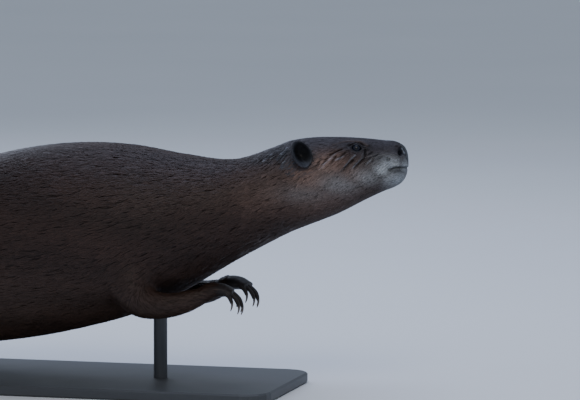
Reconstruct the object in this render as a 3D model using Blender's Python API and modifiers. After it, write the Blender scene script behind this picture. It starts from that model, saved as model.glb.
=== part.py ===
"""A North American beaver (Castor canadensis) swimming, life size, on a display stand.

The animal faces +X with +Z up, and the stand's underside is centred on the origin. The body is
described in millimetres: how far behind the nose tip, how far to the animal's left, and how high
above the crown of the head. `place` turns those measures into metres in the row frame.
"""

import math

import bmesh
import bpy
import numpy as np
from mathutils import Matrix, Vector

MM = 0.001
GAP = 0.3  # clear space between neighbouring pieces

# Where the animal lies over the stand.
CROWN_HEIGHT = 296.0
NOSE_AHEAD = 385.0

# The head turns left and leans, spread along the neck between these two places.
TURN_STARTS = 250.0
TURN_ENDS = 150.0
HEAD_TURN = math.radians(10.0)
HEAD_LEAN = math.radians(-7.0)
LEAN_AXIS = -60.0

# Cross-sections from the muzzle to the tail root, to the outside of the wet coat.
# behind: from the nose tip. belt: how far up the section is widest. A power of 2 is an ellipse.
SECTION_FIELDS = ("behind", "top", "bottom", "half_width", "belt", "top_power", "bottom_power")
SECTIONS = (
    (0.5, -23.0, -34.0, 6.0, 0.50, 2.1, 2.1),
    (1.6, -17.5, -40.0, 11.5, 0.48, 2.2, 2.2),
    (4.0, -11.5, -47.0, 17.5, 0.46, 2.3, 2.4),
    (8.0, -7.8, -52.0, 22.0, 0.45, 2.3, 2.5),
    (14.0, -4.8, -56.0, 25.5, 0.44, 2.3, 2.6),
    (28.0, -3.1, -62.0, 29.0, 0.43, 2.3, 2.6),
    (45.0, -1.4, -70.0, 33.0, 0.43, 2.3, 2.5),
    (80.0, 0.3, -88.0, 46.0, 0.42, 2.4, 2.4),
    (120.0, -1.6, -104.0, 54.0, 0.43, 2.4, 2.3),
    (137.0, -5.0, -111.0, 55.0, 0.45, 2.3, 2.2),
    (149.0, -9.8, -117.0, 56.0, 0.46, 2.2, 2.2),
    (195.0, -25.4, -142.0, 64.0, 0.49, 2.1, 2.1),
    (260.0, -22.0, -181.0, 86.5, 0.48, 2.1, 2.2),
    (326.0, -12.3, -212.0, 107.0, 0.46, 2.1, 2.3),
    (367.0, -10.7, -224.0, 115.0, 0.46, 2.1, 2.3),
    (480.0, -25.0, -246.0, 125.0, 0.46, 2.1, 2.3),
    (675.0, -113.0, -244.0, 101.0, 0.49, 2.1, 2.1),
    (745.0, -149.0, -221.0, 65.0, 0.50, 2.0, 2.0),
    (770.0, -159.0, -212.0, 51.0, 0.50, 2.0, 2.0),
    (820.0, -171.0, -202.0, 36.0, 0.50, 2.0, 2.0),
    (850.0, -175.0, -199.0, 33.0, 0.50, 2.0, 2.0),
)
SECTION_SIDES = 26
MUZZLE_CROWDING = 1.9

# Swellings and hollows of the head: (behind, to the side, height), push outwards, reach.
HEAD_FORMS = (
    ((15.0, 22.0, -26.0), 2.4, 9.0),  # whisker pad
    ((24.0, 27.0, -38.0), -1.6, 7.0),  # corner of the mouth
    ((48.0, 25.0, -6.0), 1.8, 12.0),  # brow
    ((58.0, 30.0, -13.0), -1.8, 8.0),  # eye hollow
    ((90.0, 48.0, -48.0), 3.5, 22.0),  # cheek
)

# The named lengths of the core: node, where it starts, where it ends, how many rings it has.
CORE_LENGTHS = (
    ("head", SECTIONS[0][0], 151.0, 16),
    ("neck", 151.0, 240.0, 6),
    ("chest", 240.0, 385.0, 6),
    ("loins", 385.0, 590.0, 6),
    ("rump", 590.0, 765.0, 7),
    ("tail_root", 765.0, 850.0, 5),
)

# The mouth, seen from the side: (behind, height) of the lips' corner and of the jaw's hinge.
LIP_HEIGHT = -35.0
MOUTH_CORNER = (21.0, -36.0)
JAW_HINGE = (70.0, -95.0)

EYE_RADIUS = 6.0
EYE_AT = (57.5, 22.0, -12.8)
EYE_FACES = (12, 6)
NOSE_AT = (5.0, 0.0, -16.5)
NOSE_RADII = (15.0, 17.0, 13.0)
NOSE_FACES = (14, 8)
NOSE_PROUD = 0.8  # the bare pad stands this far out of the coat

EAR_AT = (122.5, 51.0, -22.5)
EAR_HALF_HEIGHT = 16.0
EAR_HALF_WIDTH = 11.0
EAR_CUP = 7.0
EAR_THICKNESS = 3.4
EAR_TILT = math.radians(20.0)
EAR_OPENS = math.radians(56.0)
EAR_SIDES = 12

# The scaly paddle of the tail.
PADDLE_LENGTH = 262.0
PADDLE_HALF_WIDTH = 72.0
PADDLE_HALF_THICKNESS = (12.0, 5.0)  # at the root, and from the middle on
PADDLE_DROP = math.radians(6.0)
PADDLE_SIDES = 18
PADDLE_RINGS = 11

# Limbs: (behind, to the side, height), half width and half height at each station.
FORE_LEG = (
    ((322.0, 58.0, -112.0), 15.0, 24.0),
    ((318.0, 74.0, -138.0), 21.0, 29.0),
    ((308.0, 82.0, -164.0), 20.0, 25.0),
    ((290.0, 79.0, -185.0), 17.0, 19.0),
    ((262.0, 64.0, -190.0), 14.5, 15.5),
    ((236.0, 49.0, -184.0), 12.0, 12.5),
    ((222.0, 42.0, -178.0), 11.0, 9.5),
)
PALM = (
    ((221.6, 41.8, -177.8), 11.0, 9.5),
    ((214.8, 38.4, -174.9), 13.0, 8.6),
    ((203.0, 35.0, -175.0), 14.0, 7.4),
    ((193.0, 33.5, -177.5), 13.0, 4.6),
)
HAUNCH = (
    ((540.0, 84.0, -196.0), 12.0, 20.0),
    ((560.0, 88.0, -200.0), 27.0, 42.0),
    ((600.0, 92.0, -202.0), 36.0, 54.0),
    ((645.0, 90.0, -202.0), 35.0, 50.0),
    ((690.0, 84.0, -206.0), 28.0, 36.0),
    ((720.0, 82.0, -211.0), 20.0, 22.0),
)
FORE_LEG_RINGS, FORE_LEG_SIDES = 9, 12
PALM_RINGS, PALM_SIDES = 5, 10
HAUNCH_RINGS, HIND_LEG_SIDES = 8, 16
SHANK_RINGS = 4
SHANK_MIDDLE = (17.0, 13.5)  # half width and half height just above the ankle

# The fore paw's digits and claws, curling under.
DIGITS = 5
DIGIT_LENGTHS = (15.0, 22.0, 25.0, 23.0, 17.0)
DIGIT_RADII = (2.6, 2.1)
DIGIT_ROOT = (198.0, 34.0, -177.0)
DIGIT_FAN = 11.2
FORE_CLAW_LENGTH = 11.0
FORE_CLAW_RADII = (1.6, 0.5)

# The hind feet: where each ankle lies, the way the foot points, and the way its top faces.
HIND_FEET = {
    "right": dict(side=-1, ankle=(762.0, 84.0, -221.0), points=(1.0, 0.10, -0.10), faces=(0.1, 0.1, 1.0)),
    "left": dict(side=1, ankle=(752.0, 88.0, -226.0), points=(0.92, 0.32, -0.12), faces=(0.22, -0.16, 1.0)),
}
FOOT_LENGTH = 152.0
FOOT_RINGS = 7
FOOT_ARCH = 5.0
HEEL_HALF_WIDTH = 16.0
HEEL_THICKNESS = 21.0
HEEL_EDGE = 1.14
TOES_HALF_WIDTH = 52.0
TOE_LENGTHS = (0.80, 0.92, 1.00, 0.99, 0.86)  # shares of the foot's length, from the inside out
TOE_THICKNESS = 9.9
TOE_EDGE = 1.09
WEB_STARTS = 0.22
WEB_THICKNESS = 3.2
WEB_NOTCH = 0.10
EDGE_DROOP = 7.0
HIND_CLAW_LENGTH = 15.0
HIND_CLAW_RADII = (2.5, 0.6)

# The stand.
BASE_LENGTH = 500.0
BASE_WIDTH = 220.0
BASE_THICKNESS = 12.0
BASE_CORNER = 30.0
BASE_EDGE = 2.0
ROD_RADIUS = 8.0
ROD_PLACES = (("stand_rod_front", 290.0), ("stand_rod_rear", 545.0))
ROD_IN_BELLY = 25.0
ROD_IN_BASE = 8.0
ROD_SIDES = 16

# Each finish: linear colour, roughness, metallic.
FINISHES = {
    "coat": ((0.075, 0.040, 0.024), 0.45, 0.0),
    "bare_skin": ((0.030, 0.027, 0.028), 0.50, 0.0),
    "tail_scales": ((0.045, 0.042, 0.044), 0.45, 0.0),
    "eye": ((0.008, 0.006, 0.005), 0.06, 0.0),
    "stand_metal": ((0.060, 0.062, 0.066), 0.35, 0.8),
}


# Objects and their Booleans.


def clear_scene():
    for obj in list(bpy.data.objects):
        bpy.data.objects.remove(obj)


def new_collection(name, hidden=False):
    made = bpy.data.collections.new(name)
    made.hide_render = hidden
    bpy.context.scene.collection.children.link(made)
    return made


def material(name):
    """The named finish, made once."""
    if name in bpy.data.materials:
        return bpy.data.materials[name]
    made = bpy.data.materials.new(name)
    made.use_nodes = True
    shader = made.node_tree.nodes["Principled BSDF"]
    colour, roughness, metallic = FINISHES[name]
    shader.inputs["Base Color"].default_value = (*colour, 1.0)
    shader.inputs["Roughness"].default_value = roughness
    shader.inputs["Metallic"].default_value = metallic
    return made


def new_object(name, bm, collection, finish=None, crease=50.0):
    """Makes an object of the bmesh, its faces turned out. Without a finish it is a helper."""
    bmesh.ops.recalc_face_normals(bm, faces=bm.faces)
    mesh = bpy.data.meshes.new(name)
    bm.to_mesh(mesh)
    bm.free()
    obj = bpy.data.objects.new(name, mesh)
    collection.objects.link(obj)
    if finish:
        mesh.materials.append(material(finish))
        mesh.shade_smooth()
        mesh.set_sharp_from_angle(angle=math.radians(crease))
    else:
        obj.hide_render = True
        obj.display_type = "WIRE"
    return obj


def boolean(host, operation, other):
    """Adds a Boolean with one object, or with all the objects of a collection."""
    step = host.modifiers.new(f"{operation.lower()}_{other.name}", "BOOLEAN")
    step.operation = operation
    step.solver = "EXACT"
    if isinstance(other, bpy.types.Collection):
        step.operand_type = "COLLECTION"
        step.collection = other
    else:
        step.object = other


def loft(rings):
    """A closed bmesh through equal rings of points, with a strip of faces across each end."""
    bm = bmesh.new()
    rows = [[bm.verts.new(p) for p in ring] for ring in rings]
    for near, far in zip(rows, rows[1:]):
        for i in range(len(near)):
            j = (i + 1) % len(near)
            bm.faces.new((near[i], near[j], far[j], far[i]))
    for row in (rows[0], rows[-1]):
        low, high = 0, len(row) - 1
        while high - low > 2:
            bm.faces.new((row[low], row[low + 1], row[high - 1], row[high]))
            low, high = low + 1, high - 1
        if high - low == 2:
            bm.faces.new((row[low], row[low + 1], row[high]))
    return bm


def grown(obj, name, growth, collection):
    """A helper of the object's own mesh, moved out by growth millimetres."""
    bm = bmesh.new()
    bm.from_mesh(obj.data)
    bm.normal_update()
    moves = [v.normal * growth * MM for v in bm.verts]
    for v, move in zip(bm.verts, moves):
        v.co += move
    return new_object(name, bm, collection)


# Curves, places and rings.


def smooth_through(knots, values, at):
    """Rows of values on a smooth curve through the knots, read at the given places."""
    knots = np.asarray(knots, float)
    values = np.asarray(values, float)
    steps = np.diff(knots)[:, None]
    slopes = np.diff(values, axis=0) / steps
    inner = (slopes[:-1] * steps[1:] + slopes[1:] * steps[:-1]) / (steps[:-1] + steps[1:])
    tangents = np.vstack([slopes[:1], inner, slopes[-1:]])
    at = np.clip(np.asarray(at, float), knots[0], knots[-1])
    i = np.clip(np.searchsorted(knots, at, side="right") - 1, 0, len(steps) - 1)
    step = steps[i]
    t = (at - knots[i])[:, None] / step
    return (
        values[i] * (1 + 2 * t) * (1 - t) ** 2
        + tangents[i] * step * t * (1 - t) ** 2
        + values[i + 1] * t * t * (3 - 2 * t)
        + tangents[i + 1] * step * t * t * (t - 1)
    )


def turns(count):
    """Equal angles once round a ring."""
    return np.arange(count) * 2 * math.pi / count


def signed_power(x, power):
    return np.sign(x) * np.abs(x) ** power


def mirrored(point, side):
    return Vector((point[0], side * point[1], point[2]))


def place(points, turning=True):
    """Body measures to row-frame metres, with the neck bent and the head leaning."""
    points = np.asarray(points, float).reshape(-1, 3)
    bend_length = TURN_STARTS - TURN_ENDS
    radius = bend_length / HEAD_TURN
    share = np.clip((TURN_STARTS - points[:, 0]) / bend_length, 0, 1) * turning
    angle, lean = HEAD_TURN * share, HEAD_LEAN * share
    height = points[:, 2] - LEAN_AXIS
    side = points[:, 1] * np.cos(lean) - height * np.sin(lean)
    raised = points[:, 1] * np.sin(lean) + height * np.cos(lean) + LEAN_AXIS
    ahead = np.where(share > 0, 0.0, TURN_STARTS - points[:, 0])
    ahead += np.where(share >= 1, TURN_ENDS - points[:, 0], 0.0)
    x = radius * np.sin(angle) + ahead * np.cos(angle) - side * np.sin(angle)
    y = radius * (1 - np.cos(angle)) + ahead * np.sin(angle) + side * np.cos(angle)
    row = np.column_stack([x + NOSE_AHEAD - TURN_STARTS, y, raised + CROWN_HEIGHT])
    return [Vector(p) * MM for p in row]


def head_frame(at):
    """The matrix that sets a piece modelled about its own middle at this place on the head."""
    x, y, z = at
    middle, *ends = place([at, (x - 1, y, z), (x, y + 1, z), (x, y, z + 1)])
    turn = Matrix([(end - middle) / MM for end in ends]).transposed().to_4x4()
    return Matrix.Translation(middle) @ turn


def ring_axes(along):
    """The two axes of a section square to `along`: to the animal's left, and upwards."""
    across = Vector((0.0, 1.0, 0.0))
    across = (across - along * along.dot(across)).normalized()
    return across, along.cross(across)


def oval(middle, across, upwards, half_width, half_height, sides):
    """One ring of a limb, which doesn't turn with the head."""
    ring = [
        middle + across * (half_width * math.sin(t)) + upwards * (half_height * math.cos(t))
        for t in turns(sides)
    ]
    return place(ring, turning=False)


def limb_rings(path, side, count, sides):
    """Oval rings square to a smooth path through the limb's stations."""
    middles = np.array([mirrored(point, side) for point, _, _ in path])
    sizes = np.array([(width, height) for _, width, height in path])
    run = np.concatenate([[0], np.cumsum(np.linalg.norm(np.diff(middles, axis=0), axis=1))])
    at = np.linspace(0, run[-1], count)
    nudge = 0.05
    ahead = smooth_through(run, middles, at + nudge) - smooth_through(run, middles, at - nudge)
    stations = zip(smooth_through(run, middles, at), smooth_through(run, sizes, at), ahead)
    return [
        oval(Vector(middle), *ring_axes(Vector(along).normalized()), *size, sides)
        for middle, size, along in stations
    ]


def tapered(start, leaves, ends, length, radii, sides, steps):
    """Rings of a digit or claw that curls from one direction to another, and its tip."""
    point, rings = Vector(start), []
    for i in range(steps + 1):
        share = i / steps
        along = leaves.lerp(ends, share).normalized()
        if i:
            point = point + along * (length / steps)
        radius = radii[0] + (radii[1] - radii[0]) * share**1.4
        rings.append(oval(point, *ring_axes(along), radius, radius, sides))
    return rings, point


def ball(radii, faces, frame):
    """A closed ellipsoid about its own middle, moved by the frame."""
    bm = bmesh.new()
    bmesh.ops.create_uvsphere(bm, u_segments=faces[0], v_segments=faces[1], radius=MM)
    bmesh.ops.transform(bm, matrix=frame @ Matrix.Diagonal((*radii, 1.0)), verts=bm.verts)
    return bm


# The core: head, neck, trunk and tail root.


def pushed_out(points, belt, growth):
    """Adds the head's swellings and hollows, then moves every point out by growth."""
    outwards = points - [points[0, 0], 0.0, belt]
    outwards /= np.linalg.norm(outwards, axis=1, keepdims=True)
    one_side = points.copy()
    one_side[:, 1] = np.abs(one_side[:, 1])
    push = np.full(len(points), growth)
    for middle, swell, reach in HEAD_FORMS:
        away = np.linalg.norm(one_side - middle, axis=1)
        push += swell * np.exp(-((away / reach) ** 2))
    return points + outwards * push[:, None]


def core_ring(behind, growth=0.0):
    """One cross-section, before the head turns."""
    table = np.array(SECTIONS)
    at = dict(zip(SECTION_FIELDS, smooth_through(table[:, 0], table, [behind])[0]))
    sine, cosine = np.sin(turns(SECTION_SIDES)), np.cos(turns(SECTION_SIDES))
    belt = at["bottom"] + at["belt"] * (at["top"] - at["bottom"])
    power = np.where(cosine >= 0, at["top_power"], at["bottom_power"])
    reach = np.where(cosine >= 0, at["top"] - belt, belt - at["bottom"])
    side = at["half_width"] * signed_power(sine, 2 / power)
    height = belt + reach * signed_power(cosine, 2 / power)
    points = np.column_stack([np.full(SECTION_SIDES, behind), side, height])
    return pushed_out(points, belt, growth)


def core_places(name, start, end, count):
    """Where the rings of one length lie, crowded towards the tip on the blunt muzzle."""
    share = np.linspace(0, 1, count)
    if name == "head":
        return start + (end - GAP / 2 - start) * share**MUZZLE_CROWDING
    return start + GAP / 2 + (end - start - GAP) * share


def core_rings(places, growth=0.0):
    return [place(core_ring(behind, growth)) for behind in places]


def make_core(parts, helpers):
    """The lengths of the core, parted by thin gaps, and their clearance for ears and limbs."""
    made, places = {}, []
    for length in CORE_LENGTHS:
        places.extend(core_places(*length))
        rings = core_rings(core_places(*length))
        made[length[0]] = new_object(length[0], loft(rings), parts, "coat")
    clearance = new_object("body_clearance", loft(core_rings(places, 1.2 * GAP)), helpers)
    return made, clearance


def side_cutter(name, outline, half_width, growth, collection):
    """A helper with one side-view outline, grown about its middle, right across the head."""
    outline = [Vector(p) for p in outline]
    middle = sum(outline, Vector((0.0, 0.0))) / len(outline)
    outline = [p + (p - middle).normalized() * growth for p in outline]
    rings = [place([(p.x, side, p.y) for p in outline]) for side in (-half_width, half_width)]
    return new_object(name, loft(rings), collection)


def make_jaw(head, parts, helpers):
    """Parts the lower jaw from the head along the lips."""
    beyond = -12.0
    outline = ((beyond, LIP_HEIGHT), MOUTH_CORNER, JAW_HINGE, (beyond, JAW_HINGE[1]))
    jaw = head.copy()
    jaw.data = head.data.copy()
    jaw.name = "lower_jaw"
    parts.objects.link(jaw)
    boolean(jaw, "INTERSECT", side_cutter("jaw_space", outline, 80.0, 0.0, helpers))
    boolean(head, "DIFFERENCE", side_cutter("jaw_clearance", outline, 85.0, 1.6 * GAP, helpers))
    return jaw


def make_nose(hosts, parts, helpers):
    """The bare nose pad, which takes in the end of the muzzle."""
    nose = new_object("nose", ball(NOSE_RADII, NOSE_FACES, head_frame(NOSE_AT)), parts, "bare_skin")
    clearance = grown(nose, "nose_clearance", GAP, helpers)
    for host in hosts:
        boolean(host, "DIFFERENCE", clearance)
    places = core_places(*CORE_LENGTHS[0])
    places[0] -= NOSE_PROUD / 2
    muzzle = new_object("muzzle_shape", loft(core_rings(places, NOSE_PROUD)), helpers)
    boolean(nose, "INTERSECT", muzzle)


def make_eye(side, side_name, head, parts, helpers):
    """A dark eyeball in its socket."""
    shape = ball([EYE_RADIUS] * 3, EYE_FACES, head_frame(mirrored(EYE_AT, side)))
    eye = new_object("eye_" + side_name, shape, parts, "eye")
    boolean(head, "DIFFERENCE", grown(eye, "socket_" + side_name, GAP, helpers))


def ear_rings(side):
    """Rings from the middle of the cup, over its rim and back to the middle behind."""
    up = Vector((math.sin(EAR_TILT), 0.12 * side, math.cos(EAR_TILT))).normalized()
    opens = Vector((-math.cos(EAR_OPENS), side * math.sin(EAR_OPENS), 0.18))
    opens = (opens - up * opens.dot(up)).normalized()
    across = opens.cross(up)
    inside = [(share, 0.0) for share in (0.25, 0.55, 0.82, 0.96)]
    outside = [(share, EAR_THICKNESS) for share in (1.0, 0.84, 0.56, 0.25)]
    rings = []
    for share, depth in inside + outside:
        ring = [
            mirrored(EAR_AT, side)
            + up * (EAR_HALF_HEIGHT * share * math.cos(t))
            + across * (EAR_HALF_WIDTH * share * math.sin(t))
            + opens * (EAR_CUP * share**2 - depth)
            for t in turns(EAR_SIDES)
        ]
        rings.append(place(ring))
    return rings


def make_ear(side, side_name, body_clearance, parts):
    """A small cupped ear, cut where it meets the head."""
    ear = new_object("ear_" + side_name, loft(ear_rings(side)), parts, "coat")
    boolean(ear, "DIFFERENCE", body_clearance)


def paddle_ring(share):
    """One section of the paddle: a flat lens that widens, then rounds off at the tip."""
    root = dict(zip(SECTION_FIELDS, SECTIONS[-1]))
    widening = min(1.0, share / 0.42) ** 0.8
    rounding = math.sqrt(max(1 - (max(share - 0.52, 0) / 0.485) ** 2.4, 0))
    half_width = root["half_width"] + (PADDLE_HALF_WIDTH - root["half_width"]) * widening
    thick, thin = PADDLE_HALF_THICKNESS
    half_height = thick + (thin - thick) * min(1.0, share / 0.5) ** 0.7
    half_height *= 0.45 + 0.55 * rounding
    drop = PADDLE_LENGTH * share * math.sin(PADDLE_DROP) * (1 - 0.45 * share)
    behind = root["behind"] + GAP / 2 + PADDLE_LENGTH * share
    side = half_width * rounding * np.sin(turns(PADDLE_SIDES))
    height = half_height * signed_power(np.cos(turns(PADDLE_SIDES)), 0.85)
    height += (root["top"] + root["bottom"]) / 2 - drop
    return np.column_stack([np.full(PADDLE_SIDES, behind), side, height])


def make_paddle(parts):
    """The tail's flat paddle, its rings crowded at the round tip."""
    shares = 1 - (1 - np.linspace(0, 1, PADDLE_RINGS)) ** 1.6
    new_object("tail_paddle", loft([place(paddle_ring(s)) for s in shares]), parts, "tail_scales")


# The limbs.


def make_fore_leg(side, side_name, body_clearance, parts):
    """The folded fore leg and its half-closed paw, tucked under the chest."""
    rings = limb_rings(FORE_LEG, side, FORE_LEG_RINGS, FORE_LEG_SIDES)
    leg = new_object("fore_leg_" + side_name, loft(rings), parts, "coat")
    boolean(leg, "DIFFERENCE", body_clearance)

    palm = loft(limb_rings(PALM, side, PALM_RINGS, PALM_SIDES))
    paw = new_object("fore_paw_" + side_name, palm, parts, "bare_skin")
    digits = new_collection("digits_" + side_name, hidden=True)
    for i, length in enumerate(DIGIT_LENGTHS):
        fan = 2 * i / (DIGITS - 1) - 1
        root = mirrored(DIGIT_ROOT, side) + Vector((3.0 * fan**2, side * DIGIT_FAN * fan, 0.0))
        ahead = Vector((-1.0, side * 0.26 * fan, -0.25))
        under = Vector((-0.25, side * 0.10 * fan, -1.0))
        digit, tip = tapered(root, ahead, under, length, DIGIT_RADII, 5, 3)
        new_object(f"digit_{side_name}_{i}", loft(digit), digits)
        in_tip = tip + Vector((0.2, 0.0, 2.4))
        back = Vector((0.45, 0.0, -0.9))
        claw, _ = tapered(in_tip, under, back, FORE_CLAW_LENGTH, FORE_CLAW_RADII, 4, 2)
        new_object(f"claw_{side_name}_{i}", loft(claw), digits)
    boolean(paw, "UNION", digits)


def toe_ridge(across):
    """1 on each toe's middle line, 0 in the web between two toes and on the foot's edges."""
    if abs(across) > 1:
        return 1 - ((abs(across) - 1) / (TOE_EDGE - 1)) ** 2
    return (0.5 + 0.5 * math.cos(math.pi * (DIGITS - 1) * across)) ** 1.5


def foot_axes(foot):
    """The foot's own axes: along to the toes, out to the outer toe, and up off its top."""
    along = mirrored(foot["points"], foot["side"]).normalized()
    up = mirrored(foot["faces"], foot["side"])
    up = (up - along * up.dot(along)).normalized()
    return along, up.cross(along) * foot["side"], up


def foot_point(foot, across, share):
    """The foot's middle surface at this share of the way to the toe tips, and its half thickness."""
    along, outwards, up = foot_axes(foot)
    ridge = toe_ridge(across)
    toe = float(np.interp(across, np.linspace(-1, 1, DIGITS), TOE_LENGTHS))
    toe *= 1 - WEB_NOTCH * (1 - ridge)
    reach = FOOT_LENGTH * share * (1 + (toe - 1) * share)
    fan = max(share - WEB_STARTS, 0) / (1 - WEB_STARTS)
    half_width = HEEL_HALF_WIDTH + (TOES_HALF_WIDTH - HEEL_HALF_WIDTH) * fan**0.9
    arch = FOOT_ARCH * math.sin(math.pi * share) - EDGE_DROOP * (share * across) ** 2
    heel = HEEL_THICKNESS * (1 - share) ** 1.2 * math.sqrt(1 - (across / HEEL_EDGE) ** 2)
    toe_thickness = TOE_THICKNESS * (1 - 0.32 * share)
    toes = WEB_THICKNESS + (toe_thickness - WEB_THICKNESS) * ridge * min(fan * 4, 1)
    ankle = mirrored(foot["ankle"], foot["side"])
    point = ankle + along * reach + outwards * (half_width * across) + up * arch
    return point, up, max(heel, toes) / 2


def foot_rings(foot):
    """Closed rings across the foot, from the heel to the toe tips."""
    toes = np.linspace(-1, 1, DIGITS)
    web = [toes[:-1] + step for step in (0.1, 0.25, 0.4)]
    columns = np.sort(np.concatenate([toes, *web, [-TOE_EDGE, TOE_EDGE]]))
    rings = []
    for share in np.linspace(0, 1, FOOT_RINGS) ** 0.9:
        found = [foot_point(foot, across, share) for across in columns]
        top = [point + up * half for point, up, half in found]
        under = [point - up * half for point, up, half in found]
        rings.append(place(top + under[::-1], turning=False))
    return rings


def shank_rings(foot):
    """Rings from the end of the haunch to the ankle, where the last matches the foot's first."""
    side = foot["side"]
    along, outwards, up = foot_axes(foot)
    ankle = mirrored(foot["ankle"], side)
    end, half_width, half_height = HAUNCH[-1]
    onward = (Vector(end) - Vector(HAUNCH[-2][0])).normalized()
    path = (
        (Vector(end) + onward * 1.5 * GAP, half_width, half_height),
        (Vector(end) + onward * 8.0, half_width * 0.94, half_height * 0.93),
        (mirrored(ankle - along * 14.0, side), *SHANK_MIDDLE),
    )
    rings = limb_rings(path, side, SHANK_RINGS, HIND_LEG_SIDES)
    heel = (HEEL_HALF_WIDTH * HEEL_EDGE, HEEL_THICKNESS / 2)
    rings.append(oval(ankle - along * GAP, outwards * side, up, *heel, HIND_LEG_SIDES))
    return rings


def make_hind_leg(side_name, body_clearance, parts):
    """The haunch, the short shank and the webbed foot with its claws."""
    foot = HIND_FEET[side_name]
    haunch_rings = limb_rings(HAUNCH, foot["side"], HAUNCH_RINGS, HIND_LEG_SIDES)
    for name, rings in (("haunch_", haunch_rings), ("shank_", shank_rings(foot))):
        piece = new_object(name + side_name, loft(rings), parts, "coat")
        boolean(piece, "DIFFERENCE", body_clearance)

    flesh = new_object("hind_foot_" + side_name, loft(foot_rings(foot)), parts, "bare_skin")
    claws = new_collection("hind_claws_" + side_name, hidden=True)
    for i, across in enumerate(np.linspace(-1, 1, DIGITS)):
        tip, up, _ = foot_point(foot, across, 0.965)
        behind, _, _ = foot_point(foot, across, 0.90)
        onward = (tip - behind).normalized()
        leaves, ends = onward + up * 0.10, onward - up * 0.75
        claw, _ = tapered(tip, leaves, ends, HIND_CLAW_LENGTH, HIND_CLAW_RADII, 4, 3)
        new_object(f"hind_claw_{side_name}_{i}", loft(claw), claws)
    boolean(flesh, "UNION", claws)


# The stand.


def cylinder(x, radius, low, high):
    """An upright cylinder on the centre line, between two heights."""
    bm = bmesh.new()
    bmesh.ops.create_cone(
        bm,
        cap_ends=True,
        segments=ROD_SIDES,
        radius1=radius * MM,
        radius2=radius * MM,
        depth=(high - low) * MM,
        matrix=Matrix.Translation((x * MM, 0.0, (low + high) / 2 * MM)),
    )
    return bm


def make_base(parts):
    """A flat base with round corners and an eased edge."""
    bm = bmesh.new()
    bmesh.ops.create_cube(bm, size=MM)
    size = Matrix.Diagonal((BASE_LENGTH, BASE_WIDTH, BASE_THICKNESS, 1.0))
    lift = Matrix.Translation((0.0, 0.0, BASE_THICKNESS / 2 * MM))
    bmesh.ops.transform(bm, matrix=lift @ size, verts=bm.verts)
    upright = [e for e in bm.edges if abs(e.verts[0].co.z - e.verts[1].co.z) > MM]
    bmesh.ops.bevel(bm, geom=upright, offset=BASE_CORNER * MM, segments=4, profile=0.5, affect="EDGES")
    base = new_object("stand_base", bm, parts, "stand_metal", crease=30.0)
    edge = base.modifiers.new("eased_edge", "BEVEL")
    edge.width = BASE_EDGE * MM
    edge.segments = 1
    edge.limit_method = "ANGLE"
    edge.angle_limit = math.radians(60.0)
    return base


def make_stand(bellies, parts, helpers):
    """The base and two short rods, each let into the base and into the belly."""
    base = make_base(parts)
    for name, behind in ROD_PLACES:
        x = NOSE_AHEAD - behind
        low = BASE_THICKNESS - ROD_IN_BASE
        high = core_ring(behind)[:, 2].min() + CROWN_HEIGHT + ROD_IN_BELLY
        new_object(name, cylinder(x, ROD_RADIUS, low, high), parts, "stand_metal")
        bore = cylinder(x, ROD_RADIUS + GAP, low - GAP, high + GAP)
        clearance = new_object("bore_for_" + name, bore, helpers)
        for host in (base, *bellies):
            boolean(host, "DIFFERENCE", clearance)


def main():
    clear_scene()
    parts = new_collection("beaver")
    helpers = new_collection("cutters")
    core, body_clearance = make_core(parts, helpers)
    jaw = make_jaw(core["head"], parts, helpers)
    make_nose((core["head"], jaw), parts, helpers)
    for side, side_name in ((1, "left"), (-1, "right")):
        make_eye(side, side_name, core["head"], parts, helpers)
        make_ear(side, side_name, body_clearance, parts)
        make_fore_leg(side, side_name, body_clearance, parts)
        make_hind_leg(side_name, body_clearance, parts)
    make_paddle(parts)
    make_stand((core["chest"], core["loins"]), parts, helpers)


main()
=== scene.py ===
import math

import bmesh
import bpy
import numpy as np
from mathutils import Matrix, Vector
from mathutils.bvhtree import BVHTree
from mathutils.kdtree import KDTree


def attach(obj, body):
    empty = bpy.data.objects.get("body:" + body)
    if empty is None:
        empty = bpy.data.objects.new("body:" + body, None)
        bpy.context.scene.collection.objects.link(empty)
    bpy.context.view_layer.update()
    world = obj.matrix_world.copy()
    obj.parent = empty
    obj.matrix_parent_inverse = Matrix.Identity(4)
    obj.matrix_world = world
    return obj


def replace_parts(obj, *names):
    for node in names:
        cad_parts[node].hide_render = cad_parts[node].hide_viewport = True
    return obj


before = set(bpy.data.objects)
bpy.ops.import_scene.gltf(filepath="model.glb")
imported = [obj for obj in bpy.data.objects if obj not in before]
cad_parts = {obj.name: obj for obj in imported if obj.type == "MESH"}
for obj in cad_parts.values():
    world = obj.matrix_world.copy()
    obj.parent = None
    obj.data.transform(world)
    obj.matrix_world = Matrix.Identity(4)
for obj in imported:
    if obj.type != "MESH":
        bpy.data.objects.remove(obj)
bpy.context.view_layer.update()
print("frame loaded")

# Body measures are in mm: behind the nose tip, to the animal's left, above the crown.
# Row-frame points are in metres.
mm = 0.001
rng = np.random.default_rng(7)

plan = {
    "crownHeight": 296,
    "noseAhead": 385,
    "turnStarts": 250,
    "turnEnds": 150,
    "headTurn": math.radians(10),
    "headLean": math.radians(-7),
    "leanAxis": -60,
}

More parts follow.
